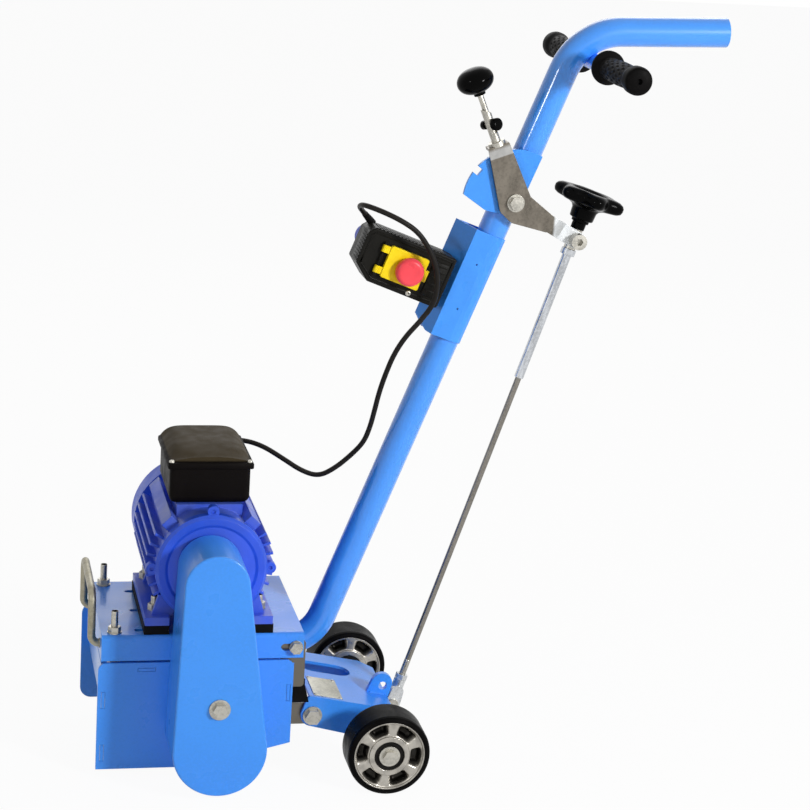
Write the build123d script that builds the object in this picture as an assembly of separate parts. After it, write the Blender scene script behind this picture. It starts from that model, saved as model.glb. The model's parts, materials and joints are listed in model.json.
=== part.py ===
from build123d import *
import math
import os

os.makedirs("parts", exist_ok=True)

# Walk-behind floor scarifier, millimetres. +X points to the operator, +Y to the operator's right,
# +Z up. The ground is Z = 0 and the origin lies under the middle of the machine.

# Wheels and axle
WHEEL_R = 63.5
WHEEL_WIDTH = 59
WHEEL_OUTER_Y = 205
RIM_R = 55
HUB_RING_R = 31.5
BEARING_R = 23
AXLE_R = 10
AXLE = (-24, WHEEL_R)
POCKETS = 6
POCKET_DEPTH = 23
RUN_FIT = 0.05

# Milling drum
DRUM = (-286, 84)
DRUM_DISC_R = 68
CUTTER_PITCH_R = 56
CUTTER_R = 28
CUTTER_POINTS = 6
CUTTER_SHAFTS = 6
CUTTERS_PER_SHAFT = 8
CUTTER_STEP = 24
DRUM_ENDS = (-88, 126)
CUTTER_THICK = 8
DRUM_SHAFT_R = 15

# Body of sheet steel
SIDE_Y = 112
RIGHT_Y = 150
SIDE_T = 5
BODY_FRONT = -459
BODY_REAR = -162
SIDE_TOP = 186
SIDE_BOTTOM = 14
RIGHT_FRONT = -465
RIGHT_BOTTOM = 24
WALL_T = 5
TAB_GAP = 0.5
MOTOR_PLATE_TOP = 229.5
MOTOR_PLATE_FRONT = -455
MOTOR_PLATE_REAR = -148
MOTOR_PLATE_DROP = 40
MOTOR_PLATE_STEP = (-381, 131)
STUD_X = -435
STUD_YS = (-96, 112)

# Electric motor, foot mounted
MOTOR = (-294, 333.5)
FOOT_PITCH_X = 160
FOOT_BOLT_Y = (-72, 68)
MOTOR_BORE_R = 46
MOTOR_BODY_R = 82
FIN_R = 97
PAD_T = 14
MOTOR_FRONT = -113
HOUSING_FRONT = -96
HOUSING_REAR = 118
COWL_END = 172

# Belt drive and its guard
GUARD_TOP = (-298, 342)
GUARD_TOP_R = 48
GUARD_BOTTOM = (-284.5, 82.5)
GUARD_BOTTOM_R = 70.5
GUARD_FRONT = -216
GUARD_T = 2
MOTOR_PULLEY_R = 34
DRUM_PULLEY_R = 50
BELT_YS = (-172, -159)
BELT_H = 8
BELT_TOP_W = 9.7
BELT_BASE_W = 5.9
GUARD_BOLT = (-288, 152)

# Handle tube: straight mast, leaning back, with one bend at each end
TUBE_R = 22.25
TUBE_BORE_R = 19.6
MAST_LEAN = 20.4
MAST_POINT = (93, 738)
HANDLE_TOP_Z = 1149.5
HANDLE_BEND_Z = 1142
HANDLE_END_X = 473.3
MACHINE_HALF = 474
TUBE_ROOT = (-177, 172)
FOOT_BEND_R = 70
TOP_BEND_R = 95
BAR_R = 12.5
BAR = (268.5, 1098)
GRIP_END = 227
GRIP_START = 70
GRIP_R = 17.5
GRIP_BULB_R = 20.7
GRIP_FLANGE_R = 25.5

# Lift lever, sector and depth rod
LEVER_PIVOT = (153, 886)
LEVER_ANGLE = 110.5
PLUNGER_ANGLE = 113.5
LEVER_TRAVEL = 32
SECTOR_R = 80
SECTOR_Y = (-28.25, -TUBE_R)
LEVER_Y = (-36, -31)
ARM_Y = (-29, -24)
TRUNNION = (255.5, 829.5)
ROD_FOOT = (17, 70)
ROD_Y = -11
PLUNGER_Y = -25

# Wheel frame
FRAME_PIVOT = (-126, 87)
FRAME_HALF = 96
FRAME_T = 5
FRAME_LEAN = -10.7
FRAME_FRONT = (-138, 120.5)
EAR = (-5, 110)
EAR_Y = (-39, -31)
EAR_HOLE_R = 6.5

# Switch box, in mast axes: u across the mast, v along it, w to the operator's left
BOX_U = (-188, -44)
BOX_V = (-33, 47.5)
BOX_W = (-18, 42)

# Motor cord, a route chosen by hand from the switch box to the motor
CORD_R = 4
CORD_ROUTE = [
    (-62, 5, 849), (-73, 1, 861), (-82, -12, 871), (-81, -30, 877), (-72, -46, 877), (-51, -60, 871),
    (-26, -68, 861), (-3, -73, 846), (14, -75, 824), (27, -75, 798), (33, -72, 766), (30, -66, 735),
    (13, -60, 708), (-7, -50, 680), (-21, -41, 650), (-29, -30, 618), (-35, -18, 585), (-38, -6, 552),
    (-41, 6, 522), (-47, 18, 494), (-63, 32, 469), (-85, 44, 444), (-108, 58, 426), (-133, 76, 430),
    (-158, 95, 443), (-184, 113, 458), (-212, 132, 463), (-240, 146, 460), (-264, 136, 457),
    (-274, 112, 455),
]


def slab(sketch, y0, y1):
    """A sketch drawn in X and Z, thick from y0 to y1."""
    plane = Plane((0, y1, 0), x_dir=(1, 0, 0), z_dir=(0, -1, 0))
    return extrude(plane * sketch, amount=y1 - y0, dir=(0, -1, 0))


def poly(*points, radius=0):
    """A polygon of X, Z points, with all its corners rounded where a radius is given."""
    face = Polygon(*points, align=None)
    return fillet(face.vertices(), radius) if radius else face


def disc(centre, radius, y0, y1):
    """A round bar along Y."""
    return slab(Pos(*centre) * Circle(radius), y0, y1)


def ring(centre, outer, inner, y0, y1):
    """A round tube along Y."""
    return slab(Pos(*centre) * (Circle(outer) - Circle(inner)), y0, y1)


def hexagon(centre, across, y0, y1):
    """A hexagon head or nut along Y, of a given width across flats."""
    return slab(Pos(*centre) * RegularPolygon(across / 2, 6, major_radius=False), y0, y1)


def block(x0, x1, y0, y1, z0, z1):
    """A box between two corners."""
    return Pos(x0, y0, z0) * Box(x1 - x0, y1 - y0, z1 - z0, align=(Align.MIN,) * 3)


def post(x, y, radius, z0, z1):
    """A round bar along Z."""
    return Pos(x, y, z0) * Cylinder(radius, z1 - z0, align=(Align.CENTER, Align.CENTER, Align.MIN))


def nut(x, y, across, z0, z1):
    """A hexagon nut along Z."""
    return Pos(x, y, z0) * extrude(RegularPolygon(across / 2, 6, major_radius=False), amount=z1 - z0)


def hull(*circles):
    """The outline round several circles, each given as x, z and radius."""
    edges = []
    for x, z, radius in circles:
        edges += (Pos(x, z) * Circle(radius)).edges()
    return make_hull(edges)


def turned(centre, profile):
    """A turned piece on an axis along Y: the profile is a list of radius, y pairs."""
    axis = Axis((centre[0], 0, centre[1]), (0, 1, 0))
    points = [(centre[0] + radius, y, centre[1]) for radius, y in profile]
    return revolve(make_face(Polyline(*points, close=True)), axis)


def polar(centre, radius, angle):
    """The X, Z point at a radius and an angle from +X towards +Z."""
    turn = math.radians(angle)
    return (centre[0] + radius * math.cos(turn), centre[1] + radius * math.sin(turn))


def along(plane, radius, start, end):
    """A round bar on the Z axis of a plane."""
    bar = Cylinder(radius, end - start, align=(Align.CENTER, Align.CENTER, Align.MIN))
    return plane * Pos(0, 0, start) * bar


def group(pieces):
    """Separate solids kept in one node."""
    return Compound(children=[solid for piece in pieces for solid in piece.solids()])


parts = {}

# Side plates: the left one carries the belt drive, the right one stops higher above the ground
left_outline = poly(
    (BODY_FRONT, SIDE_BOTTOM), (-306, SIDE_BOTTOM), (BODY_REAR, 50), (BODY_REAR, SIDE_TOP),
    (BODY_FRONT, SIDE_TOP),
)
left_outline = fillet(left_outline.vertices().sort_by(Axis.Y)[-2:], 12)
HOOD_FRONT = -453
TABS = {"top": (-386, 174.5, 26, WALL_T), "front_high": (HOOD_FRONT + 2.5, 126.5, WALL_T, 26),
        "front_low": (HOOD_FRONT + 2.5, 40.5, WALL_T, 26), "rear": (-168.5, 132, WALL_T, 26)}
slots = [Pos(x, z) * Rectangle(w + 2 * TAB_GAP, h + 2 * TAB_GAP) for x, z, w, h in TABS.values()]
shaft_hole = Pos(*DRUM) * Circle(DRUM_SHAFT_R + 6)
post_hole = Pos(*GUARD_BOLT) * Circle(8)
left_plate = slab(left_outline - slots - shaft_hole - post_hole, -SIDE_Y, SIDE_T - SIDE_Y)
parts["left_side_plate"] = left_plate
right_outline = poly(
    (RIGHT_FRONT, RIGHT_BOTTOM), (BODY_REAR, RIGHT_BOTTOM), (BODY_REAR, SIDE_TOP),
    (RIGHT_FRONT, SIDE_TOP), radius=18,
)
parts["right_side_plate"] = slab(right_outline - shaft_hole, RIGHT_Y - SIDE_T, RIGHT_Y)

# Handle: mast tube, bent at the foot where it enters the rear wall and at the top
lean = math.tan(math.radians(MAST_LEAN))


def mast_x(z):
    """X of the mast's centre line at a height."""
    return MAST_POINT[0] + (z - MAST_POINT[1]) * lean


tube_path = FilletPolyline(
    (TUBE_ROOT[0], 0, TUBE_ROOT[1]), (mast_x(TUBE_ROOT[1]), 0, TUBE_ROOT[1]),
    (mast_x(HANDLE_BEND_Z), 0, HANDLE_BEND_Z), (HANDLE_END_X, 0, HANDLE_TOP_Z),
    radius=[FOOT_BEND_R, TOP_BEND_R],
)
tube_plane = Plane(tube_path @ 0, z_dir=tube_path % 0)
tube_solid = sweep(tube_plane * Circle(TUBE_R), path=tube_path)
parts["handle_tube"] = sweep(tube_plane * (Circle(TUBE_R) - Circle(TUBE_BORE_R)), path=tube_path)

# Hood between the side plates, with the pivot lugs of the wheel frame and of the motor plate
inner_y = SIDE_Y - SIDE_T
right_inner = RIGHT_Y - SIDE_T
PLATE_BOLT = (-160, 207)
hood = block(HOOD_FRONT, -166, -inner_y, right_inner, 172, 177)
hood += block(HOOD_FRONT, HOOD_FRONT + WALL_T, -inner_y, right_inner, 118, 172)
hood += block(HOOD_FRONT, HOOD_FRONT + WALL_T, -inner_y, -52, 28, 118)
hood += block(-388, -384, -inner_y, right_inner, 40, 172)
hood += block(-171, -166, -inner_y, right_inner, 62, 172)
for x, z, w, h in TABS.values():
    hood += block(x - w / 2, x + w / 2, -SIDE_Y, -inner_y, z - h / 2, z + h / 2)
pivot_lug = poly((-171, 70), (FRAME_PIVOT[0], FRAME_PIVOT[1] - 17), (FRAME_PIVOT[0], FRAME_PIVOT[1] + 17),
                 (-171, 106))
pivot_lug += Pos(*FRAME_PIVOT) * Circle(17)
pivot_lug -= Pos(*FRAME_PIVOT) * Circle(8 + RUN_FIT)
hinge_lug = poly((-182, 140), (-144, 140), (-144, 216), (-182, 216), radius=6)
hinge_lug -= Pos(*PLATE_BOLT) * Circle(5.5)
for side in (-1, 1):
    hood += slab(pivot_lug, *sorted((side * 76, side * 88)))
hood += slab(hinge_lug, -inner_y, 6 - inner_y)
hood += slab(hinge_lug, right_inner - 6, right_inner)
hood += block(-166, BODY_REAR, -60, 60, 118, 200)
hood -= tube_solid
for y in STUD_YS:
    hood -= post(STUD_X, y, 5.3, 170, 180)
parts["drum_hood"] = hood

# Rubber skirts close the drum chamber near the floor
skirts = [block(-392, -388.2, -100, 138, 16, 70), block(-165.8, -162, -70, 70, 52, 100)]
parts["dust_skirts"] = group(skirts)

# Motor plate: a folded tray, pivoting on the rear bolts and jacked up on two front studs
STEP_X, STEP_Y = MOTOR_PLATE_STEP
tray_bottom = MOTOR_PLATE_TOP - MOTOR_PLATE_DROP
tray = block(MOTOR_PLATE_FRONT, MOTOR_PLATE_REAR, -SIDE_Y, STEP_Y, tray_bottom, MOTOR_PLATE_TOP)
tray += block(STEP_X, MOTOR_PLATE_REAR, 0, RIGHT_Y, tray_bottom, MOTOR_PLATE_TOP)
long_edges = tray.edges().filter_by(Axis.X).group_by(Axis.Z)[-1]
tray = fillet(long_edges, 7)
tray -= block(MOTOR_PLATE_FRONT + WALL_T, MOTOR_PLATE_REAR + 10, -inner_y, STEP_Y - WALL_T,
              100, MOTOR_PLATE_TOP - WALL_T)
tray -= block(STEP_X + WALL_T, MOTOR_PLATE_REAR + 10, 0, right_inner, 100, MOTOR_PLATE_TOP - WALL_T)
flange_slot = Pos(PLATE_BOLT[0] - 8, PLATE_BOLT[1]) * SlotOverall(30, 11)
tray -= slab(flange_slot, -SIDE_Y - 1, RIGHT_Y + 1)
foot_bolts = [(MOTOR[0] + side * FOOT_PITCH_X / 2, y) for side in (-1, 1) for y in FOOT_BOLT_Y]
for y in STUD_YS:
    tray -= post(STUD_X, y, 5.3, 200, 240)
for x, y in foot_bolts:
    tray -= post(x, y, 5.5, 200, 240)
for y in (-88, -4, 80):
    tray -= Pos(-396, y, 220) * extrude(SlotOverall(17, 10), amount=20)
parts["motor_plate"] = tray

# Front lifting handle, a bent round bar welded to the front of the motor plate
HANDLE_BAR_R = 6
HANDLE_BAR_X = -MACHINE_HALF + HANDLE_BAR_R
handle_path = FilletPolyline(
    (MOTOR_PLATE_FRONT, -80, 207), (HANDLE_BAR_X, -80, 207), (HANDLE_BAR_X, -80, 287),
    (HANDLE_BAR_X, 80, 287), (HANDLE_BAR_X, 80, 207), (MOTOR_PLATE_FRONT, 80, 207),
    radius=[12.5, 20, 20, 12.5],
)
handle_section = Plane(handle_path @ 0, z_dir=handle_path % 0) * Circle(HANDLE_BAR_R)
parts["front_handle"] = sweep(handle_section, path=handle_path)

# Fasteners of the frame: jacking studs, plate pivot bolts, guard post with its bolt
bolts = []
for y in STUD_YS:
    stud = post(STUD_X, y, 5, 165, 264) + nut(STUD_X, y, 17, 177, 185) + nut(STUD_X, y, 17, 231.5, 239.5)
    stud += post(STUD_X, y, 11, 229.5, 231.5) + post(STUD_X, y, 10, 222, 224.5)
    bolts.append(stud)
for face, out in ((-SIDE_Y, -1), (RIGHT_Y, 1)):
    bolt = disc(PLATE_BOLT, 5, *sorted((face - out * 16, face)))
    bolt += disc(PLATE_BOLT, 10.5, *sorted((face, face + out * 2.5)))
    bolt += hexagon(PLATE_BOLT, 17, *sorted((face + out * 2.5, face + out * 9.5)))
    bolt += hexagon(PLATE_BOLT, 17, *sorted((face - out * 19, face - out * 11)))
    bolts.append(bolt)
guard_stay = disc(GUARD_BOLT, 8, GUARD_FRONT + GUARD_T, SIDE_T - SIDE_Y)
guard_stay += disc(GUARD_BOLT, 14, -SIDE_Y - 6, -SIDE_Y)
guard_stay += disc(GUARD_BOLT, 6, GUARD_FRONT, GUARD_FRONT + GUARD_T)
guard_stay += disc(GUARD_BOLT, 16, GUARD_FRONT - 2.5, GUARD_FRONT)
guard_stay += hexagon(GUARD_BOLT, 19, GUARD_FRONT - 10, GUARD_FRONT - 2.5)
bolts.append(guard_stay)
parts["frame_bolts"] = group(bolts)

# Rubber pads under the motor feet
FOOT_Y = (-108, 92)
pads = []
for side in (-1, 1):
    inner, outer = sorted((side * 60, side * 98))
    pad = block(MOTOR[0] + inner, MOTOR[0] + outer, *FOOT_Y, MOTOR_PLATE_TOP, MOTOR_PLATE_TOP + PAD_T)
    for x, y in foot_bolts:
        pad -= post(x, y, 5.5, MOTOR_PLATE_TOP - 1, MOTOR_PLATE_TOP + PAD_T + 1)
    pads.append(pad)
parts["motor_pads"] = group(pads)

# Motor housing: finned barrel on two foot rails, with the seat of the terminal box on top
FOOT_BASE = MOTOR_PLATE_TOP + PAD_T
FOOT_T = 13
TERMINAL_Z = (419, 474, 484)
TERMINAL_Y = (-57, 88)
housing = disc(MOTOR, MOTOR_BODY_R, HOUSING_FRONT, HOUSING_REAR)
fin_angles = [angle for angle in range(-30, 211, 10) if not 35 < angle < 145]
fin = Pos((MOTOR_BODY_R + FIN_R) / 2 - 1, 0) * Rectangle(FIN_R - MOTOR_BODY_R + 2, 4)
fins = [Pos(*MOTOR) * Rot(0, 0, angle) * fin for angle in fin_angles]
broad_fin = Pos((MOTOR_BODY_R + FIN_R) / 2 - 3, 0) * Rectangle(FIN_R - MOTOR_BODY_R + 6, 20)
fins += [Pos(*MOTOR) * Rot(0, 0, angle) * broad_fin for angle in (46, 134)]
housing += slab(Sketch() + fins, HOUSING_FRONT + 8, HOUSING_REAR - 10)
for side in (-1, 1):
    inner, outer = sorted((side * 60, side * 97))
    housing += block(MOTOR[0] + inner, MOTOR[0] + outer, *FOOT_Y, FOOT_BASE, FOOT_BASE + FOOT_T)
    leg = poly((MOTOR[0] + side * 60, FOOT_BASE + 4), (MOTOR[0] + side * 88, FOOT_BASE + 4),
               (MOTOR[0] + side * 76, MOTOR[1] - 46), (MOTOR[0] + side * 40, MOTOR[1] - 60))
    for y0, y1 in ((-92, -56), (48, 80)):
        web = slab(leg, y0, y1)
        for x, y in foot_bolts:
            web -= post(x, y, 13, FOOT_BASE + FOOT_T, FOOT_BASE + 60)
        housing += web
housing += block(MOTOR[0] - 50, MOTOR[0] + 50, -60, 88, MOTOR[1] + 60, TERMINAL_Z[0])
housing -= disc(MOTOR, MOTOR_BORE_R, HOUSING_FRONT - 1, HOUSING_REAR + 1)
for x, y in foot_bolts:
    housing -= post(x, y, 5.5, FOOT_BASE - 1, FOOT_BASE + FOOT_T + 1)
parts["motor_housing"] = housing

# Motor end shields with their screw lugs, and the bearings in them
SHAFT_SEAT_R = 15
MOTOR_BEARING_R = 31
LUG_R = 89


def shield_lugs(y0, y1):
    """Four screw lugs round an end shield."""
    lugs = Sketch() + [Pos(*polar(MOTOR, LUG_R, angle)) * Circle(9) for angle in range(0, 360, 90)]
    holes = [Pos(*polar(MOTOR, LUG_R, angle)) * Circle(3) for angle in range(0, 360, 90)]
    return slab(lugs - Pos(*MOTOR) * Circle(60) - holes, y0, y1)


front_shield = turned(MOTOR, [
    (MOTOR_BEARING_R, HOUSING_FRONT - 0.01), (MOTOR_BEARING_R, -108), (20, -108), (20, -120),
    (34, -120), (38, -115), (66, MOTOR_FRONT + 2), (70, MOTOR_FRONT), (80, MOTOR_FRONT),
    (84.5, MOTOR_FRONT + 5), (84.5, HOUSING_FRONT - 0.01),
])
parts["drive_end_shield"] = front_shield + shield_lugs(MOTOR_FRONT + 6, HOUSING_FRONT - 0.01)
rear_shield = turned(MOTOR, [
    (MOTOR_BEARING_R, HOUSING_REAR + 0.01), (MOTOR_BEARING_R, 132), (20, 132), (20, 135), (40, 135),
    (62, 130), (84, 128), (84, HOUSING_REAR + 0.01),
])
parts["fan_end_shield"] = rear_shield
bearing_ys = ((-108, -92), (116, 132))
parts["motor_bearings"] = group(
    [ring(MOTOR, MOTOR_BEARING_R, SHAFT_SEAT_R + RUN_FIT, y0, y1) for y0, y1 in bearing_ys]
)

# Fan cowl with a slotted end grille
COWL_R = 95
COWL_T = 1.5
cowl = turned(MOTOR, [
    (84, 120), (COWL_R, 120), (COWL_R, COWL_END - 8), (COWL_R - 8, COWL_END), (0, COWL_END),
    (0, COWL_END - COWL_T), (COWL_R - 9, COWL_END - COWL_T), (COWL_R - COWL_T, COWL_END - 9),
    (COWL_R - COWL_T, 122), (84, 122),
])
GRILLE_SLOTS = 12
for row_r, slot_len in ((30, 20), (62, 32)):
    for k in range(GRILLE_SLOTS):
        angle = 360 / GRILLE_SLOTS * k
        spot = Pos(*polar(MOTOR, row_r, angle)) * Rot(0, 0, angle)
        cowl -= slab(spot * SlotOverall(slot_len, 5), COWL_END - 3, COWL_END + 1)
parts["fan_cowl"] = cowl

# Motor foot bolts with nuts, and the screws of the end shields
motor_bolts = []
for x, y in foot_bolts:
    bolt = post(x, y, 5, 216, FOOT_BASE + FOOT_T + 22) + nut(x, y, 17, 216.5, 224.5)
    bolt += post(x, y, 10, FOOT_BASE + FOOT_T, FOOT_BASE + FOOT_T + 2)
    bolt += nut(x, y, 17, FOOT_BASE + FOOT_T + 2, FOOT_BASE + FOOT_T + 10)
    motor_bolts.append(bolt)
for angle in range(0, 360, 90):
    spot = polar(MOTOR, LUG_R, angle)
    screw = disc(spot, 2.9, MOTOR_FRONT + 8, HOUSING_FRONT - 1)
    motor_bolts.append(screw)
parts["motor_bolts"] = group(motor_bolts)

# Terminal box with its crowned lid
BOX_MID_X = MOTOR[0]
box_floor, lid_floor, lid_top = TERMINAL_Z
near_y, far_y = TERMINAL_Y
terminal = block(BOX_MID_X - 61, BOX_MID_X + 61, near_y, far_y, box_floor, lid_floor)
terminal = fillet(terminal.edges().filter_by(Axis.Z), 8)
terminal = fillet(terminal.faces().sort_by(Axis.Z)[0].edges().filter_by(Axis.Y), 11)
terminal -= block(BOX_MID_X - 57, BOX_MID_X + 57, near_y + 4, far_y - 4, box_floor + 12, lid_floor + 1)
parts["terminal_box"] = terminal
lid = block(BOX_MID_X - 65, BOX_MID_X + 65, near_y - 4, far_y + 4, lid_floor, lid_top)
lid = fillet(lid.edges().filter_by(Axis.Z), 5)
CROWN_HALF = 60
crown_line = Polyline((BOX_MID_X + CROWN_HALF, 0), (BOX_MID_X - CROWN_HALF, 0))
crown_line += ThreePointArc((BOX_MID_X - CROWN_HALF, 0), (BOX_MID_X, 16), (BOX_MID_X + CROWN_HALF, 0))
crown = Pos(0, 0, lid_top) * slab(make_face(crown_line), near_y + 2, far_y + 2)
bevel = Box(200, 60, 60, align=(Align.CENTER, Align.MAX, Align.MIN))
crown -= Pos(BOX_MID_X, near_y + 2, lid_top) * Rot(-34, 0, 0) * bevel
lid += crown
lid_screws = [(BOX_MID_X + sx * 59, y) for sx in (-1, 1) for y in (near_y + 2, far_y - 2)]
for x, y in lid_screws:
    lid -= post(x, y, 3, lid_top - 4, lid_top + 4)
parts["terminal_lid"] = lid

# Cord glands: one out of the terminal box, one out of the switch box
motor_exit = Plane(CORD_ROUTE[-1], z_dir=Vector(CORD_ROUTE[-1]) - Vector(CORD_ROUTE[-2]))
motor_gland = along(motor_exit, 9, 0, 10) + along(motor_exit, 12, 10, 40)
first, second = Vector(CORD_ROUTE[0]), Vector(CORD_ROUTE[1])
switch_exit = Plane(CORD_ROUTE[0], z_dir=first - second)
switch_gland = along(switch_exit, 6, 0, 7) + along(switch_exit, 7.5, 7, 24)

# Drum: shaft, end discs, six cutter shafts and the star cutters on them
drum_left, drum_right = DRUM_ENDS
drum_shaft = disc(DRUM, DRUM_SHAFT_R, -186, RIGHT_Y + 2) + disc(DRUM, 21, drum_left + 7, drum_right - 7)
parts["drum_shaft"] = drum_shaft
shaft_angles = [-90 + 360 / CUTTER_SHAFTS * k for k in range(CUTTER_SHAFTS)]
shaft_spots = [polar(DRUM, CUTTER_PITCH_R, angle) for angle in shaft_angles]
disc_face = Pos(*DRUM) * (Circle(DRUM_DISC_R) - Circle(DRUM_SHAFT_R))
disc_face -= [Pos(*spot) * Circle(7) for spot in shaft_spots]
parts["drum_discs"] = group([
    slab(disc_face, drum_left, drum_left + 7), slab(disc_face, drum_right - 7, drum_right),
])
cutter_shafts = []
for spot in shaft_spots:
    bar = disc(spot, 7, drum_left, drum_right) + disc(spot, 9, drum_left - 2, drum_left)
    cutter_shafts.append(bar + disc(spot, 9, drum_right, drum_right + 2))
parts["cutter_shafts"] = group(cutter_shafts)
star_points = []
for k in range(2 * CUTTER_POINTS):
    tip_r = CUTTER_R if k % 2 == 0 else CUTTER_R - 7
    star_points.append(polar((0, 0), tip_r, -90 + 180 / CUTTER_POINTS * k))
star = Polygon(*star_points, align=None) - Circle(7)
cutters = []
for row, spot in enumerate(shaft_spots):
    shift = CUTTER_STEP / 4 if row % 2 else -CUTTER_STEP / 4
    for k in range(CUTTERS_PER_SHAFT):
        y = sum(DRUM_ENDS) / 2 + (k - (CUTTERS_PER_SHAFT - 1) / 2) * CUTTER_STEP + shift
        cutters.append(slab(Pos(*spot) * star, y - CUTTER_THICK / 2, y + CUTTER_THICK / 2))
parts["cutters"] = group(cutters)
parts["drum_bearings"] = group([
    ring(DRUM, 42, DRUM_SHAFT_R + RUN_FIT, -inner_y, -93),
    ring(DRUM, 42, DRUM_SHAFT_R + RUN_FIT, right_inner - 14, right_inner),
])

# Rotor of the motor, with its cooling fan
SHAFT_R = 14
parts["rotor_shaft"] = turned(MOTOR, [
    (0, -192), (SHAFT_R, -192), (SHAFT_R, -120), (SHAFT_SEAT_R, -120), (SHAFT_SEAT_R, -84), (45, -84),
    (45, 104), (SHAFT_SEAT_R, 104), (SHAFT_SEAT_R, 136), (11, 136), (11, 164), (0, 164),
])
FAN_BLADES = 8
fan_face = Circle(22) - Circle(11)
for k in range(FAN_BLADES):
    fan_face += Rot(0, 0, 360 / FAN_BLADES * k) * Pos(49, 0) * Rectangle(60, 3)
fan = slab(Pos(*MOTOR) * fan_face, 143, 162)
fan += ring(MOTOR, 74, 11, 140, 143)
parts["cooling_fan"] = fan


# V-belt pulleys and the two belts
def pulley(centre, outer, bore, face0, face1):
    """A two-groove pulley turned about Y."""
    profile = [(bore, face0), (outer, face0)]
    for y in BELT_YS:
        depth = outer - BELT_H - 2
        profile += [(outer, y - 5.6), (depth, y - 3.2), (depth, y + 3.2), (outer, y + 5.6)]
    return turned(centre, profile + [(outer, face1), (bore, face1)])


PULLEY_FACES = (-181, -150)
motor_hub = ring(MOTOR, 22, SHAFT_R, -150, -138)
parts["motor_pulley"] = pulley(MOTOR, MOTOR_PULLEY_R, SHAFT_R, *PULLEY_FACES) + motor_hub
drum_hub = ring(DRUM, 26, DRUM_SHAFT_R, -150, -138)
parts["drum_pulley"] = pulley(DRUM, DRUM_PULLEY_R, DRUM_SHAFT_R, *PULLEY_FACES) + drum_hub


def belt(y):
    """One V-belt round both pulleys, riding level with their rims."""
    clear = 0.4
    outer = hull((*MOTOR, MOTOR_PULLEY_R + clear), (*DRUM, DRUM_PULLEY_R + clear))
    inner = hull((*MOTOR, MOTOR_PULLEY_R + clear - BELT_H), (*DRUM, DRUM_PULLEY_R + clear - BELT_H))
    loop = slab(outer - inner, y - BELT_TOP_W / 2, y + BELT_TOP_W / 2)
    for side in (-1, 1):
        near = Plane((0, y + side * BELT_BASE_W / 2, 0), x_dir=(1, 0, 0), z_dir=(0, -1, 0))
        far = Plane((0, y + side * BELT_TOP_W / 2, 0), x_dir=(1, 0, 0), z_dir=(0, -1, 0))
        loop -= loft([near * inner, far * outer])
    return loop


parts["drive_belts"] = group([belt(y) for y in BELT_YS])

# Belt guard: a deep tapered cover over both pulleys
guard_face = hull((*GUARD_TOP, GUARD_TOP_R), (*GUARD_BOTTOM, GUARD_BOTTOM_R))
guard_core = hull((*GUARD_TOP, GUARD_TOP_R - GUARD_T), (*GUARD_BOTTOM, GUARD_BOTTOM_R - GUARD_T))
guard = slab(guard_face, GUARD_FRONT, -SIDE_Y - 0.5)
guard = fillet(guard.faces().sort_by(Axis.Y)[0].edges(), 3)
guard -= slab(guard_core, GUARD_FRONT + GUARD_T, -SIDE_Y)
guard -= block(-400, -200, MOTOR_FRONT - 5.5, -SIDE_Y + 1, MOTOR_PLATE_TOP + 1, 420)
guard -= disc(GUARD_BOLT, 6, GUARD_FRONT - 1, GUARD_FRONT + GUARD_T + 1)
parts["belt_guard"] = guard

# Cross bar and two rubber grips
parts["handlebar"] = ring(BAR, BAR_R, BAR_R - 2.5, -GRIP_END + 5, GRIP_END - 5) - tube_solid


def grip(side):
    """A rubber grip with an inner flange and a swelling middle."""
    profile = [
        (BAR_R, GRIP_START), (GRIP_FLANGE_R, GRIP_START), (GRIP_FLANGE_R, GRIP_START + 6),
        (GRIP_R - 1, GRIP_START + 12), (GRIP_R + 0.5, GRIP_START + 70), (GRIP_R - 0.5, GRIP_END - 34),
        (GRIP_BULB_R, GRIP_END - 22), (GRIP_BULB_R, GRIP_END - 8), (GRIP_BULB_R - 1.6, GRIP_END - 2),
        (GRIP_BULB_R - 4, GRIP_END),
        (4, GRIP_END), (4, GRIP_END - 5), (BAR_R, GRIP_END - 5),
    ]
    return turned(BAR, [(radius, side * y) for radius, y in profile])


parts["grips"] = group([grip(-1), grip(1)])

# Switch bracket, folded from sheet and welded round the front of the mast
lean_angle = math.radians(MAST_LEAN)
across = (math.cos(lean_angle), 0, -math.sin(lean_angle))
mast_up = (math.sin(lean_angle), 0, math.cos(lean_angle))
BOX_PLANE = Plane((MAST_POINT[0], 0, MAST_POINT[1]), x_dir=across, z_dir=(0, -1, 0))
BRACKET_PLANE = Plane((MAST_POINT[0], 0, MAST_POINT[1]), x_dir=across, z_dir=mast_up)
BRACKET_T = 3
BRACKET_V = (-74, 100)
wrap = [polar((0, 0), TUBE_R + 1.6, angle) for angle in (-35, -55, -75, -90)]
fold_line = Polyline(*wrap, (-30, -TUBE_R - 1.6), (-53, 16), (-12, 20.4))
fold_face = trace(fold_line, BRACKET_T)
bracket = BRACKET_PLANE * Pos(0, 0, BRACKET_V[0]) * extrude(fold_face, amount=BRACKET_V[1] - BRACKET_V[0])
corner_cut = Polygon((-62, -52), (-62, -80), (-31, -80), align=None)
bracket -= BOX_PLANE * Pos(0, 0, -40) * extrude(corner_cut, amount=80)
for u, v in ((-8.5, 49.8), (-8.2, -23.5)):
    bracket -= BOX_PLANE * Pos(u, v, 20) * extrude(Circle(1.5), amount=10)
parts["switch_bracket"] = bracket - tube_solid

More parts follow.
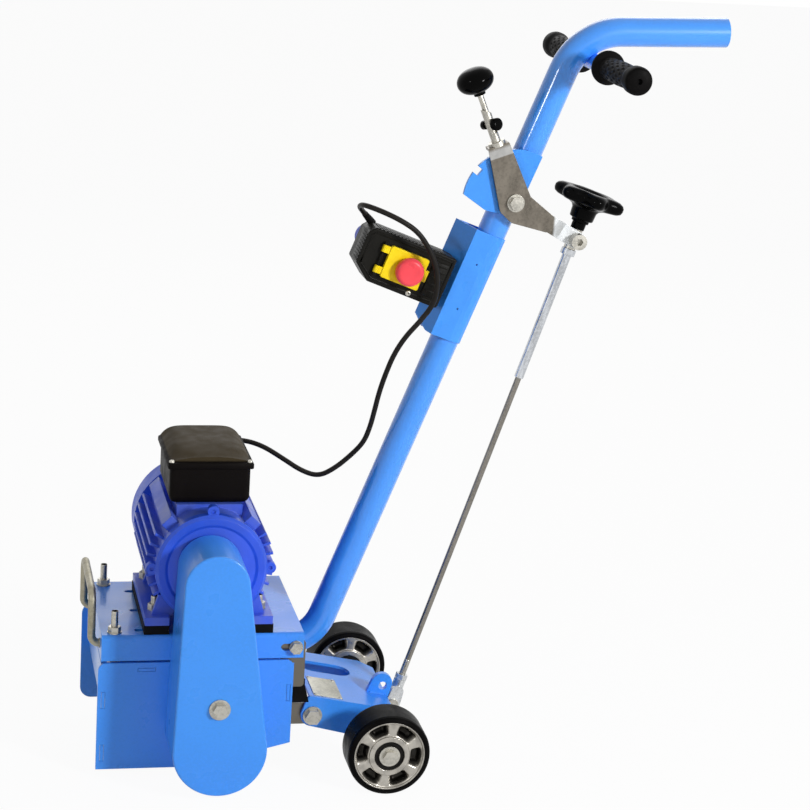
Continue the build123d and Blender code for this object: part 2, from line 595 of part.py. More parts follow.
# Switch box with a chamfered outer end, cut back where it sits on the bracket
box_outline = Polygon(
    (-161, BOX_V[0]), (BOX_U[1], BOX_V[0]), (BOX_U[1], BOX_V[1]), (-179, BOX_V[1]), (BOX_U[0], 37),
    (BOX_U[0], -12), align=None,
)
box_outline = fillet(box_outline.vertices(), 4)
FLAP_U = (-148, -86)
FLAP_V = (-18, 32)
FLAP_MID = ((FLAP_U[0] + FLAP_U[1]) / 2, (FLAP_V[0] + FLAP_V[1]) / 2)
BUTTON_GAP = 13
box = extrude(Pos(0, 0, BOX_W[0]) * box_outline, amount=BOX_W[1] - BOX_W[0])
box = fillet(box.faces().sort_by(Axis.Z)[-1].edges(), 3)
panel = Pos(*FLAP_MID, BOX_W[1] - 8) * extrude(Rectangle(52, 40), amount=20)
box -= panel
for side in (-1, 1):
    box -= Pos(FLAP_MID[0] + side * BUTTON_GAP, FLAP_MID[1], 10) * extrude(Circle(9.3), amount=40)
for w in (0, 14, 28):
    box -= Pos(-112, BOX_V[1], w) * Box(96, 5, 6)
box = BOX_PLANE * box
web_cut = Polygon((40, -25.4), (40, 60), (-80.3, 60), (-31, -25.4), align=None)
box -= BRACKET_PLANE * Pos(0, 0, -120) * extrude(web_cut, amount=240)
parts["switch_body"] = box

# Power inlet on the far side of the switch box, a shrouded socket with three pins
INLET_AT = (-168, 21, BOX_W[0])
inlet_plane = BOX_PLANE * Plane(INLET_AT, x_dir=(1, 0, 0), z_dir=(0, 0, -1))
inlet = along(inlet_plane, 19, 0, 20) + along(inlet_plane, 17, 20, 28)
inlet -= along(inlet_plane, 14, 8, 30)
for angle in (90, 210, 330):
    spot = polar((0, 0), 8, angle)
    inlet += inlet_plane * Pos(*spot, 7) * Cylinder(2.5, 16, align=(Align.CENTER, Align.CENTER, Align.MIN))
parts["power_inlet"] = inlet

# Hinged flap over the push buttons, and the mushroom button on it
FLAP_W = (BOX_W[1] + 0.5, BOX_W[1] + 8.5)
flap_size = (FLAP_U[1] - FLAP_U[0], FLAP_V[1] - FLAP_V[0])
flap = Pos(*FLAP_MID, FLAP_W[0]) * extrude(Rectangle(*flap_size), amount=FLAP_W[1] - FLAP_W[0])
flap = fillet(flap.edges().filter_by(Axis.Z), 3)
flap -= Pos(*FLAP_MID, FLAP_W[0] - 1) * extrude(Rectangle(flap_size[0] - 5, flap_size[1] - 5), amount=6)
MUSHROOM = (FLAP_MID[0] + 7, FLAP_MID[1] - 1.5)
flap -= Pos(*MUSHROOM, 0) * extrude(Circle(9.3), amount=80)
HINGE_U = FLAP_U[0] - 9
HINGE_W = BOX_W[1] + 5
hinge_v = ((FLAP_V[0] + 3, FLAP_V[0] + 14), (FLAP_V[1] - 14, FLAP_V[1] - 3))
for v0, v1 in hinge_v:
    knuckle = Plane((HINGE_U, v0, HINGE_W), z_dir=(0, 1, 0))
    flap += along(knuckle, 4, 0, v1 - v0)
    flap += Pos(HINGE_U, v0, HINGE_W - 2) * Box(12, v1 - v0, 4, align=(Align.MIN,) * 3)
    flap -= along(knuckle, 1.5 + RUN_FIT, -1, v1 - v0 + 1)
flap += Pos(FLAP_U[1], FLAP_MID[1] - 9, FLAP_W[0] + 1) * Box(6, 18, 6, align=(Align.MIN,) * 3)
parts["switch_flap"] = BOX_PLANE * flap
hinge_pin = along(Plane((HINGE_U, hinge_v[0][0] - 4, HINGE_W), z_dir=(0, 1, 0)), 1.5, 0,
                  hinge_v[1][1] - hinge_v[0][0] + 8)
for v0 in (hinge_v[0][0] - 4, hinge_v[1][1] + 0.4):
    ear = Pos(HINGE_U - 3, v0, BOX_W[1] - 1) * Box(6, 3.6, 9, align=(Align.MIN,) * 3)
    hinge_pin += ear
parts["switch_body"] = parts["switch_body"] + BOX_PLANE * hinge_pin
mushroom = Pos(*MUSHROOM, FLAP_W[1] - 10.5) * extrude(Circle(9), amount=15.5)
mushroom_top = Pos(*MUSHROOM, FLAP_W[1] + 5) * extrude(Circle(21.5), amount=11)
mushroom += fillet(mushroom_top.edges().sort_by(Axis.Z)[-1], 7)
parts["stop_button"] = BOX_PLANE * mushroom
for name, side in (("start_button", -1), ("off_button", 1)):
    key = Pos(FLAP_MID[0] + side * BUTTON_GAP, FLAP_MID[1], BOX_W[1] - 22) * extrude(Circle(9), amount=16)
    parts[name] = BOX_PLANE * key
motor_gland -= block(-330, -230, 0, TERMINAL_Y[1], 400, 500)
parts["cord_glands"] = group([motor_gland, switch_gland - parts["switch_body"]])

# Motor cord between the two glands
runs = [Vector(*b) - Vector(*a) for a, b in zip(CORD_ROUTE, CORD_ROUTE[1:])]
cord_radii = []
for before, after in zip(runs, runs[1:]):
    half_turn = math.radians(before.get_angle(after)) / 2
    cord_radii.append(0.45 * min(before.length, after.length) / math.tan(half_turn))
cord_path = FilletPolyline(*CORD_ROUTE, radius=cord_radii)
cord = sweep(Plane(cord_path @ 0, z_dir=cord_path % 0) * Circle(CORD_R), path=cord_path)
parts["cord"] = cord

# Sector plate on the mast: a rim about the lever pivot with two locking notches
rim = [polar(LEVER_PIVOT, SECTOR_R, angle) for angle in (61, 117, 173)]
sector_line = ThreePointArc(*rim)
sector_line += Polyline(rim[2], (108, 872.8), (129, 868), (160, 868), (172, 905), rim[0])
sector = make_face(sector_line)
for notch in (LEVER_ANGLE, LEVER_ANGLE + LEVER_TRAVEL):
    sector -= Pos(*polar(LEVER_PIVOT, SECTOR_R, notch)) * Rot(0, 0, notch) * Rectangle(18, 11.6)
sector -= Pos(*LEVER_PIVOT) * Circle(6)
parts["sector_plate"] = slab(sector, *SECTOR_Y)

# Lever pivot bolt with its spacer
pivot = disc(LEVER_PIVOT, 6, LEVER_Y[0] - 3, SECTOR_Y[1] - 0.2)
pivot += disc(LEVER_PIVOT, 12, LEVER_Y[1] + 0.3, SECTOR_Y[0])
pivot += disc(LEVER_PIVOT, 13.5, LEVER_Y[0] - 2.8, LEVER_Y[0] - 0.3)
pivot += hexagon(LEVER_PIVOT, 19, LEVER_Y[0] - 10, LEVER_Y[0] - 2.8)
parts["lever_pivot"] = pivot

# Bell-crank lever: flat plate with a bent shelf for the grip tube and a joggled arm to the rod
top_dir = math.radians(LEVER_ANGLE)
lever_points = [
    polar(LEVER_PIVOT, 92, LEVER_ANGLE + 10.5), polar(LEVER_PIVOT, 92, LEVER_ANGLE - 10.5),
    polar(LEVER_PIVOT, 25, 24), polar(LEVER_PIVOT, 68, -18.5), polar(LEVER_PIVOT, 68, -40.5),
    polar(LEVER_PIVOT, 31, 262), polar(LEVER_PIVOT, 27, 212),
]
lever_face = Polygon(*lever_points, align=None)
lever_corners = lever_face.vertices().sort_by(Axis.Y)
lever_face = fillet([v for v in lever_corners if v.Y < 875 and v.X < 165], 14)
lever_face -= Pos(*LEVER_PIVOT) * Circle(6 + RUN_FIT)
lever = slab(lever_face, *LEVER_Y)
shelf_plane = Plane(
    (LEVER_PIVOT[0], 0, LEVER_PIVOT[1]), x_dir=(math.cos(top_dir), 0, math.sin(top_dir)),
    z_dir=(-math.sin(top_dir), 0, math.cos(top_dir)),
)
SHELF_INNER_Y = -13
shelf = Box(5, SHELF_INNER_Y - LEVER_Y[0], 32, align=(Align.MIN, Align.MIN, Align.CENTER))
lever += shelf_plane * Pos(87, LEVER_Y[0], 0) * shelf
TRUNNION_RADIUS = math.dist(LEVER_PIVOT, TRUNNION)
arm_dir = math.atan2(TRUNNION[1] - LEVER_PIVOT[1], TRUNNION[0] - LEVER_PIVOT[0])
arm_plane = Plane(
    (LEVER_PIVOT[0], 0, LEVER_PIVOT[1]), x_dir=(math.cos(arm_dir), 0, math.sin(arm_dir)),
    z_dir=(-math.sin(arm_dir), 0, math.cos(arm_dir)),
)
lever_mid, arm_mid = sum(LEVER_Y) / 2, sum(ARM_Y) / 2
joggle_line = Polyline((64, lever_mid), (72, lever_mid), (88, arm_mid), (TRUNNION_RADIUS, arm_mid))
lever += arm_plane * Pos(0, 0, -13) * extrude(trace(joggle_line, ARM_Y[1] - ARM_Y[0]), amount=26)
lever += disc(TRUNNION, 13, *ARM_Y)
lever -= disc(TRUNNION, 6 + RUN_FIT, -40, -10)
tube_turn = math.radians(PLUNGER_ANGLE)
SHELF_TOP = 92
shelf_spot = polar(LEVER_PIVOT, SHELF_TOP, LEVER_ANGLE)
plunger_root = polar(shelf_spot, -SHELF_TOP, PLUNGER_ANGLE)
plunger_axis = Plane(
    (plunger_root[0], PLUNGER_Y, plunger_root[1]), x_dir=(math.sin(tube_turn), 0, -math.cos(tube_turn)),
    z_dir=(math.cos(tube_turn), 0, math.sin(tube_turn)),
)
lever -= along(plunger_axis, 4.5 + RUN_FIT, 80, 100)
parts["lever_plate"] = lever

# Grip tube of the lever, with a collar and a slot for the release pin
PIN_TURN = -61
sleeve = along(plunger_axis, 7, SHELF_TOP - 2, 150) + along(plunger_axis, 13, SHELF_TOP - 2, SHELF_TOP + 5)
sleeve -= along(plunger_axis, 4.5 + RUN_FIT, SHELF_TOP - 10, 152)
sleeve -= lever
base = (Align.CENTER, Align.CENTER, Align.MIN)
pin_slot = Pos(0, 0, 110.6) * Box(30, 8.6, 17.8, align=base)
sleeve -= plunger_axis * Rot(0, 0, PIN_TURN) * pin_slot
sleeve -= plunger_axis * Pos(0, 0, 146) * Rot(0, 35, 0) * Box(60, 60, 40, align=base)
parts["lever_tube"] = sleeve

# Locking plunger with its cross pin, the thumb caps on the pin and the mushroom knob on top
plunger = along(plunger_axis, 4.5, SECTOR_R + 1, 186)
pin_turn = math.radians(PIN_TURN)
cross_plane = plunger_axis * Plane((0, 0, 124), z_dir=(math.cos(pin_turn), math.sin(pin_turn), 0))
cross = along(cross_plane, 4, -16, 16)
parts["plunger_rod"] = plunger + cross
caps = along(cross_plane, 9.5, 8.6, 19) + along(cross_plane, 7, -17, -8.6)
KNOB_R = 28.5
knob_line = Polyline((0, 0), (9, 0), (11, 7))
knob_line += Spline((11, 7), (24, 11.5), (KNOB_R, 21), (20.5, 33.5), (0, 38), tangents=((1, 0.25), (-1, 0)))
knob_line += Line((0, 38), (0, 0))
knob = revolve(Plane.XZ * make_face(knob_line), Axis.Z)
knob = plunger_axis * Pos(0, 0, 172) * knob
parts["lever_knob"] = group([knob - plunger, caps - cross])

# Depth rod: trunnion block, hand wheel on its threaded sleeve, rod and clevis
rod_vector = Vector(TRUNNION[0] - ROD_FOOT[0], 0, TRUNNION[1] - ROD_FOOT[1])
ROD_LENGTH = rod_vector.length
rod_axis = Plane((TRUNNION[0], ROD_Y, TRUNNION[1]), z_dir=rod_vector, x_dir=(0, 1, 0))
trunnion = disc(TRUNNION, 13, ARM_Y[1] + 0.3, ROD_Y + 11)
trunnion += along(rod_axis, 9.5, -17, 15)
trunnion -= along(rod_axis, 7.2 + RUN_FIT, -30, 30)
pin = disc(TRUNNION, 6, ARM_Y[0] - 0.3, ARM_Y[1] + 0.3)
parts["rod_trunnion"] = trunnion
screw_head = disc(TRUNNION, 12, ARM_Y[0] - 17, ARM_Y[0] - 0.3)
screw_head -= hexagon(TRUNNION, 10, ARM_Y[0] - 18, ARM_Y[0] - 9)
sleeve_rod = along(rod_axis, 7.2, -232, 44) - along(rod_axis, 4.8 + RUN_FIT, -240, -180)
sleeve_rod += along(rod_axis, 11.5, -27, -17.4)
parts["adjuster_sleeve"] = sleeve_rod

WHEEL_LOBES = 6
lobes = [Rot(0, 0, 360 / WHEEL_LOBES * k) * Pos(42, 0) * Circle(14) for k in range(WHEEL_LOBES)]
lobe_ring = Circle(46) + lobes
hand_wheel = extrude(Pos(0, 0, 58) * lobe_ring, amount=17)
hand_wheel = chamfer(hand_wheel.edges().filter_by(GeomType.CIRCLE), 3.5)
hand_wheel -= Pos(0, 0, 70) * extrude(Circle(26), amount=10)
hub_line = Polyline((0, 15.4), (11, 15.4), (11, 36), (17, 38), (18, 52), (30, 60), (0, 60), close=True)
hand_wheel += revolve(Plane.XZ * make_face(hub_line), Axis.Z)
hand_wheel = rod_axis * hand_wheel
parts["hand_wheel"] = hand_wheel - along(rod_axis, 7.2, 0, 44)

parts["adjuster_rod"] = along(rod_axis, 4.8, -ROD_LENGTH + 30, -186)
clevis_end = -ROD_LENGTH
shank = along(rod_axis, 9.4, clevis_end + 16, clevis_end + 42)
nut_face = Pos(0, 0, clevis_end + 42) * extrude(RegularPolygon(8.5, 6, major_radius=False), amount=8)
shank += rod_axis * nut_face
rod_angle = math.degrees(math.atan2(rod_vector.Z, rod_vector.X))
cheek_top = polar(ROD_FOOT, 22, rod_angle)
cheeks = slab(hull((*ROD_FOOT, 12), (*cheek_top, 10)), ROD_Y - 11, ROD_Y + 11)
clevis = cheeks + shank
clevis -= slab(hull((*ROD_FOOT, 16), (*polar(ROD_FOOT, 30, -110), 20)), ROD_Y - 4.6, ROD_Y + 4.6)
clevis -= along(rod_axis, 4.8, clevis_end + 30, clevis_end + 60)
clevis -= disc(ROD_FOOT, 6, -60, 0)
parts["rod_clevis"] = clevis
foot_pin = disc(ROD_FOOT, 6, ROD_Y - 14, ROD_Y + 13) + disc(ROD_FOOT, 9, ROD_Y - 14, ROD_Y - 11)
parts["link_pins"] = group([pin + screw_head, foot_pin])

# Wheel frame: folded plate on two flanges, cross tube for the axle and the ear for the rod
frame_slope = math.tan(math.radians(FRAME_LEAN))


def frame_z(x):
    """Height of the wheel frame's top face."""
    return FRAME_FRONT[1] + (x - FRAME_FRONT[0]) * frame_slope


FRAME_REAR_X = 2
flange = hull((*FRAME_PIVOT, 18), (*AXLE, 20), (-129, frame_z(-129) - 7.2, 7),
              (FRAME_REAR_X - 6, frame_z(FRAME_REAR_X - 6) - 6.2, 6))
flange -= Pos(*FRAME_PIVOT) * Circle(8)
top = poly((-132, frame_z(-132)), (FRAME_REAR_X, frame_z(FRAME_REAR_X)),
           (FRAME_REAR_X, frame_z(FRAME_REAR_X) - FRAME_T), (-132, frame_z(-132) - FRAME_T))
frame = slab(top, -FRAME_HALF, FRAME_HALF)
for side in (-1, 1):
    frame += slab(flange, *sorted((side * (FRAME_HALF - FRAME_T), side * FRAME_HALF)))
    corner = Pos(FRAME_REAR_X, side * FRAME_HALF, frame_z(FRAME_REAR_X) - 6) * Rot(0, 0, 45)
    frame -= corner * Box(30, 30, 40, align=base)
frame += ring(AXLE, 15, AXLE_R, -WHEEL_OUTER_Y + WHEEL_WIDTH + 1, WHEEL_OUTER_Y - WHEEL_WIDTH - 1)
oblong = Pos(-86, 36, 80) * extrude(SlotOverall(84, 44), amount=60)
frame -= oblong
frame += slab(hull((*EAR, 14.5), (-14, 84, 12)) - Pos(*EAR) * Circle(EAR_HOLE_R), *EAR_Y)
tongue = hull((*AXLE, 14), (*ROD_FOOT, 12)) - Pos(*ROD_FOOT) * Circle(8)
frame += slab(tongue, ROD_Y - 4, ROD_Y + 4)
frame -= disc(AXLE, AXLE_R, -150, 150)
parts["chassis_frame"] = frame
axle_end = WHEEL_OUTER_Y - 3
parts["axle"] = disc(AXLE, AXLE_R, -axle_end, axle_end)

# Pivot bolts of the wheel frame and the bolts that keep the wheels on
chassis_bolts = []
for side in (-1, 1):
    flip = (lambda a, b, s=side: sorted((s * a, s * b)))
    bolt = disc(FRAME_PIVOT, 8, *flip(72, FRAME_HALF))
    bolt += disc(FRAME_PIVOT, 15, *flip(FRAME_HALF, FRAME_HALF + 3))
    bolt += hexagon(FRAME_PIVOT, 22, *flip(FRAME_HALF + 3, FRAME_HALF + 12))
    chassis_bolts.append(bolt)
    keeper = disc(AXLE, 16, *flip(axle_end, axle_end + 3))
    keeper += hexagon(AXLE, 19, *flip(axle_end + 3, axle_end + 9))
    chassis_bolts.append(keeper)
parts["chassis_bolts"] = group(chassis_bolts)


def wheel_hub(side):
    """Cast wheel with pockets between its spokes, bored for two bearings."""
    inner, outer = WHEEL_OUTER_Y - WHEEL_WIDTH + 1, WHEEL_OUTER_Y - 1
    body = ring(AXLE, RIM_R, 14, *sorted((side * inner, side * outer)))
    sector_half = 21
    wedge = Polygon((0, 0), polar((0, 0), 80, sector_half), polar((0, 0), 80, -sector_half), align=None)
    pocket = (Circle(RIM_R - 5) - Circle(HUB_RING_R + 2)) & wedge
    pocket = fillet(pocket.vertices(), 3)
    pocket = Sketch() + [Rot(0, 0, 360 / POCKETS * k + 54) * pocket for k in range(POCKETS)]
    shallow = Pos(*AXLE) * (Circle(RIM_R - 3) - Circle(HUB_RING_R))
    for face, depth in ((inner, 1), (outer, -1)):
        body -= slab(shallow, *sorted((side * (face - depth), side * (face + 3 * depth))))
        floor = face + POCKET_DEPTH * depth
        body -= slab(Pos(*AXLE) * pocket, *sorted((side * (face - depth), side * floor)))
        body -= disc(AXLE, BEARING_R, *sorted((side * (face - depth), side * (face + 14 * depth))))
    return body


def tyre(side):
    """Solid rubber tread bonded to the rim, with rounded shoulders."""
    inner, outer = WHEEL_OUTER_Y - WHEEL_WIDTH, WHEEL_OUTER_Y
    profile = [
        (RIM_R, inner), (57.5, inner), (60.5, inner + 1), (62.5, inner + 3), (WHEEL_R, inner + 7),
        (WHEEL_R, outer - 7), (62.5, outer - 3), (60.5, outer - 1), (57.5, outer), (RIM_R, outer),
    ]
    return turned(AXLE, [(radius, side * y) for radius, y in profile])


for name, side in (("left", -1), ("right", 1)):
    parts[f"{name}_wheel_hub"] = wheel_hub(side)
    parts[f"{name}_tyre"] = tyre(side)
    inner = WHEEL_OUTER_Y - WHEEL_WIDTH
    ends = ((inner + 3, inner + 15), (WHEEL_OUTER_Y - 15, WHEEL_OUTER_Y - 4))
    parts[f"{name}_wheel_bearings"] = group(
        [ring(AXLE, BEARING_R, AXLE_R + RUN_FIT, *sorted((side * a, side * b))) for a, b in ends]
    )

for name, shape in parts.items():
    export_step(shape if isinstance(shape, Compound) else Part() + shape, f"parts/{name}.step")

print("nodes", len(parts))
print("cord radii", [round(radius) for radius in cord_radii])
print("cord length", round(cord_path.length, 1))
print("rod length", round(ROD_LENGTH, 1))
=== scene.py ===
"""Finishes, small pieces, light and camera of the floor scarifier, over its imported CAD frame."""
import json
import math

import bmesh
import bpy
from mathutils import Matrix, Vector


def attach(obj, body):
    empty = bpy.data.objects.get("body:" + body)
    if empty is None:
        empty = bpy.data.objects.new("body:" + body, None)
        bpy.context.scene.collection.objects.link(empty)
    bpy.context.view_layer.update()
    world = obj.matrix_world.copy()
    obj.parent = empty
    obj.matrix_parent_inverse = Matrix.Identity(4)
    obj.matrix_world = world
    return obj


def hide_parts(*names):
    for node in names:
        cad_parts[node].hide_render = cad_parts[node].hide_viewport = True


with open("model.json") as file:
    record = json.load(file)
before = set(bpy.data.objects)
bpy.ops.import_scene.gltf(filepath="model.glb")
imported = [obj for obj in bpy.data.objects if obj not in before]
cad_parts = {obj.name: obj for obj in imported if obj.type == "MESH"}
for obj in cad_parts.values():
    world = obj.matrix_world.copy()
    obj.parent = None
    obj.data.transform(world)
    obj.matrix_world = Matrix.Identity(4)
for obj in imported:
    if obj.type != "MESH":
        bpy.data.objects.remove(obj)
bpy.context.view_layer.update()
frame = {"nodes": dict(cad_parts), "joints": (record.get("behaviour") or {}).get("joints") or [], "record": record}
nodes = frame["nodes"]
MM = 0.001
UP = (0, 0, 1)
LEFT = (0, -1, 0)

# Camera: found by fitting the wheels and the handle tube to the photograph
CAMERA_AT = (-0.7325, -3.2693, 1.4716)
CAMERA_AZIMUTH = -12.81
CAMERA_ELEVATION = 15.22
CAMERA_ROLL = 3.70
CAMERA_REACH = 60
IMAGE_SIZE = 810
FOCAL_PIXELS = 2248.07
SENSOR = 36.0

# Colours, as seen in plain light
SHEET_BLUE = "#4099FD"
MOTOR_BLUE = "#2857DC"
DUST_GREY = "#8D93A6"
ZINC = "#B4B1A8"
# painted highlight of the lever plate's shelf and arm
PAINTED_HIGHLIGHT_STEEL = "#D6D9DB"
BARE_STEEL = "#6E685F"
OLD_STEEL = "#6B665D"
HANDLE_STEEL = "#96917F"
DARK_STEEL = "#4A4743"
CUTTER_STEEL = "#5E5A55"
ROD_STEEL = "#827E77"
SLEEVE_STEEL = "#BFC2C6"
FORK_ALLOY = "#CBCDCE"
ALLOY = "#A9A59D"
# painted shade of the hub pockets
POCKET_SHADE_COLOUR = "#0E0C0A"
SEAL_BLACK = "#1A1918"
TYRE_BLACK = "#0B0A0A"
RUBBER_BLACK = "#100F0F"
CORD_BLACK = "#1E1B18"
PLASTIC_BLACK = "#100D0C"
# painted warm reflection on the terminal lid's crown
WARM_REFLECTION_BROWN = "#423929"
SWITCH_BLACK = "#161512"
GLOSS_BLACK = "#050505"
INLET_BLUE = "#5A6AD2"
FLAP_YELLOW = "#F6D60A"
BUTTON_RED = "#FB4C57"
BUTTON_GREEN = "#1F8A3A"
PLATE_GREY = "#B4B2A6"
FLOOR_GREY = (0.9, 0.9, 0.9, 1)
WHITE = (1, 1, 1, 1)

# Places and directions of the frame's joints, and the lean of the lever at rest
joints = {joint["name"]: joint for joint in frame["joints"]}
LEVER_PIVOT = Vector(joints["lever_swing"]["pos_m"])
PLUNGER_WAY = Vector(joints["plunger_slide"]["axis"])
AXLE = Vector(joints["left_wheel_spin"]["pos_m"])
TRUNNION = Vector(joints["rod_swing"]["pos_m"])
ROD_WAY = Vector(joints["depth_wheel_spin"]["axis"])
LEVER_LEAN = math.radians(110.5)

# The motor cord's route in metres: the points of the CAD cord, moved a little at both ends for wider turns
CORD_DIAMETER = 0.008
CORD_ROUTE = [
    (-0.062, 0.005, 0.849), (-0.073, -0.001, 0.861), (-0.083, -0.018, 0.872), (-0.083, -0.041, 0.879),
    (-0.074, -0.058, 0.879), (-0.053, -0.072, 0.873), (-0.028, -0.076, 0.862), (-0.004, -0.076, 0.847),
    (0.014, -0.075, 0.824), (0.027, -0.075, 0.798), (0.033, -0.072, 0.766), (0.030, -0.066, 0.735),
    (0.013, -0.060, 0.708), (-0.007, -0.050, 0.680), (-0.021, -0.041, 0.650), (-0.029, -0.030, 0.618),
    (-0.035, -0.018, 0.585), (-0.038, -0.006, 0.552), (-0.041, 0.006, 0.522), (-0.047, 0.018, 0.494),
    (-0.063, 0.032, 0.469), (-0.085, 0.044, 0.444), (-0.108, 0.058, 0.426), (-0.133, 0.076, 0.430),
    (-0.158, 0.095, 0.443), (-0.190, 0.117, 0.459), (-0.220, 0.136, 0.463), (-0.247, 0.139, 0.460),
    (-0.268, 0.126, 0.457), (-0.274, 0.112, 0.455),
]


def linear(hex_colour):
    """A hex sRGB colour as linear RGBA."""
    channels = [int(hex_colour[i:i + 2], 16) / 255 for i in (1, 3, 5)]
    return [c / 12.92 if c <= 0.04045 else ((c + 0.055) / 1.055) ** 2.4 for c in channels] + [1.0]


def tinted(colour, factor):
    """A linear colour made lighter or darker."""
    return [min(1.0, c * factor) for c in colour[:3]] + [1.0]


# Materials: what the finishes share, such as the parts of a noise value that count as light or dark
LIGHT_PATCHES = (0.42, 0.62)
DARK_PATCHES = (0.52, 0.34)
GLOSS_PATCHES = (0.35, 0.65)
# The lighter patches along the edges: noise range, scale, turn of the edge and tint
EDGE_PATCHES = (0.40, 0.60)
EDGE_PATCH_SCALE = 45
EDGE_TURN = (0.97, 0.75)
EDGE_TINT = 1.6
FINE_DETAIL = 4.0
COAT_ROUGHNESS = 0.11
EDGE_SAMPLES = 4
STEEL_METALLIC = 0.92


class Surface:
    """A Principled material built up from procedural layers in object coordinates."""

    def __init__(self, name, colour, roughness, metallic=0.0, coat=0.0, specular=0.5):
        self.material = bpy.data.materials.new(name)
        self.material.use_nodes = True
        self.tree = self.material.node_tree
        self.shader = self.tree.nodes["Principled BSDF"]
        self.colour = linear(colour)
        self.shader.inputs["Base Color"].default_value = self.colour
        self.shader.inputs["Roughness"].default_value = roughness
        self.shader.inputs["Metallic"].default_value = metallic
        self.shader.inputs["Coat Weight"].default_value = coat
        self.shader.inputs["Coat Roughness"].default_value = COAT_ROUGHNESS
        self.shader.inputs["Specular IOR Level"].default_value = specular
        self.coords = self.tree.nodes.new("ShaderNodeTexCoord").outputs["Object"]
        self.base_socket = None
        self.bump_socket = None

    def link(self, out, into):
        """Joins an output to an input."""
        self.tree.links.new(out, into)

    def noise(self, scale, detail=3.0, stretch=None):
        """A noise value from 0 to 1; stretch is a scale per axis."""
        node = self.tree.nodes.new("ShaderNodeTexNoise")
        node.inputs["Scale"].default_value = scale
        node.inputs["Detail"].default_value = detail
        coords = self.coords
        if stretch:
            mapping = self.tree.nodes.new("ShaderNodeMapping")
            mapping.inputs["Scale"].default_value = stretch
            self.link(coords, mapping.inputs["Vector"])
            coords = mapping.outputs["Vector"]
        self.link(coords, node.inputs["Vector"])
        return node.outputs["Fac"]

    def spread(self, value, low, high, to_low=0.0, to_high=1.0):
        """A value's range low to high stretched to another range."""
        node = self.tree.nodes.new("ShaderNodeMapRange")
        node.inputs["From Min"].default_value = low
        node.inputs["From Max"].default_value = high
        node.inputs["To Min"].default_value = to_low
        node.inputs["To Max"].default_value = to_high
        self.link(value, node.inputs["Value"])
        return node.outputs["Result"]

    def maths(self, operation, first, second=None):
        """One operation on node values or plain numbers."""
        node = self.tree.nodes.new("ShaderNodeMath")
        node.operation = operation
        for socket, value in zip(node.inputs, (first, second)):
            if value is None:
                continue
            if isinstance(value, (int, float)):
                socket.default_value = value
            else:
                self.link(value, socket)
        return node.outputs["Value"]

    def axis(self, letter):
        """One object coordinate, in metres."""
        node = self.tree.nodes.new("ShaderNodeSeparateXYZ")
        self.link(self.coords, node.inputs["Vector"])
        return node.outputs[letter]

    def paint(self, mask, colour):
        """Mixes a colour in where the mask is 1."""
        mix = self.tree.nodes.new("ShaderNodeMix")
        mix.data_type = "RGBA"
        mix.inputs["A"].default_value = self.colour
        if self.base_socket:
            self.link(self.base_socket, mix.inputs["A"])
        mix.inputs["B"].default_value = colour
        self.link(mask, mix.inputs["Factor"])
        self.base_socket = mix.outputs["Result"]
        self.link(self.base_socket, self.shader.inputs["Base Color"])

    def vary(self, scale, darker, lighter, detail=3.0, stretch=None):
        """Uneven colour between a darker and a lighter tone."""
        value = self.noise(scale, detail, stretch)
        self.paint(self.spread(value, *LIGHT_PATCHES), tinted(self.colour, lighter))
        self.paint(self.spread(value, *DARK_PATCHES), tinted(self.colour, darker))

    def rough(self, scale, low, high, stretch=None):
        """Uneven gloss."""
        value = self.noise(scale, FINE_DETAIL, stretch)
        self.link(self.spread(value, *GLOSS_PATCHES, low, high), self.shader.inputs["Roughness"])

    def metal(self, share):
        """Metallic by a node value."""
        self.link(share, self.shader.inputs["Metallic"])

    def bump(self, scale, depth, strength, detail=2.0):
        """Fine relief of a depth in metres."""
        node = self.tree.nodes.new("ShaderNodeBump")
        node.inputs["Strength"].default_value = strength
        node.inputs["Distance"].default_value = depth
        self.link(self.noise(scale, detail), node.inputs["Height"])
        if self.bump_socket:
            self.link(self.bump_socket, node.inputs["Normal"])
        self.bump_socket = node.outputs["Normal"]
        self.link(self.bump_socket, self.shader.inputs["Normal"])

    def rounded(self, radius):
        """The surface's direction as if its edges were rounded."""
        node = self.tree.nodes.new("ShaderNodeBevel")
        node.inputs["Radius"].default_value = radius
        node.samples = EDGE_SAMPLES
        return node.outputs["Normal"]

    def soften(self, radius):
        """Edges that catch the light as if slightly rounded; goes before the other relief."""
        self.bump_socket = self.rounded(radius)
        self.link(self.bump_socket, self.shader.inputs["Normal"])

    def lighten_edges(self, radius, amount):
        """Lighter colour in patches along the edges."""
        geometry = self.tree.nodes.new("ShaderNodeNewGeometry")
        dot = self.tree.nodes.new("ShaderNodeVectorMath")
        dot.operation = "DOT_PRODUCT"
        self.link(self.rounded(radius), dot.inputs[0])
        self.link(geometry.outputs["Normal"], dot.inputs[1])
        edge = self.spread(dot.outputs["Value"], *EDGE_TURN, 0.0, amount)
        patch = self.spread(self.noise(EDGE_PATCH_SCALE, FINE_DETAIL), *EDGE_PATCHES)
        self.paint(self.maths("MULTIPLY", edge, patch), tinted(self.colour, EDGE_TINT))


def powder_coat(name="sheet_blue", coat=0.3):
    """Light-blue coat of the sheet parts and the tubes, lighter in patches along the edges."""
    s = Surface(name, SHEET_BLUE, roughness=0.32, coat=coat, specular=0.3)
    s.soften(radius=0.0012)
    s.vary(scale=5, darker=0.93, lighter=1.05)
    s.vary(scale=240, darker=0.98, lighter=1.02)
    s.rough(scale=14, low=0.26, high=0.40)
    s.bump(scale=620, depth=0.00025, strength=0.22)
    s.lighten_edges(radius=0.0012, amount=0.6)
    return s


# Where the hood is bare: aside and above for the motor plate's lugs, and behind its rear wall
BARE_ASIDE = (0.0700, 0.0710)
BARE_ABOVE = (0.1790, 0.1800)
BARE_BEHIND = (-0.1612, -0.1604)
BARE_METALLIC = 0.9


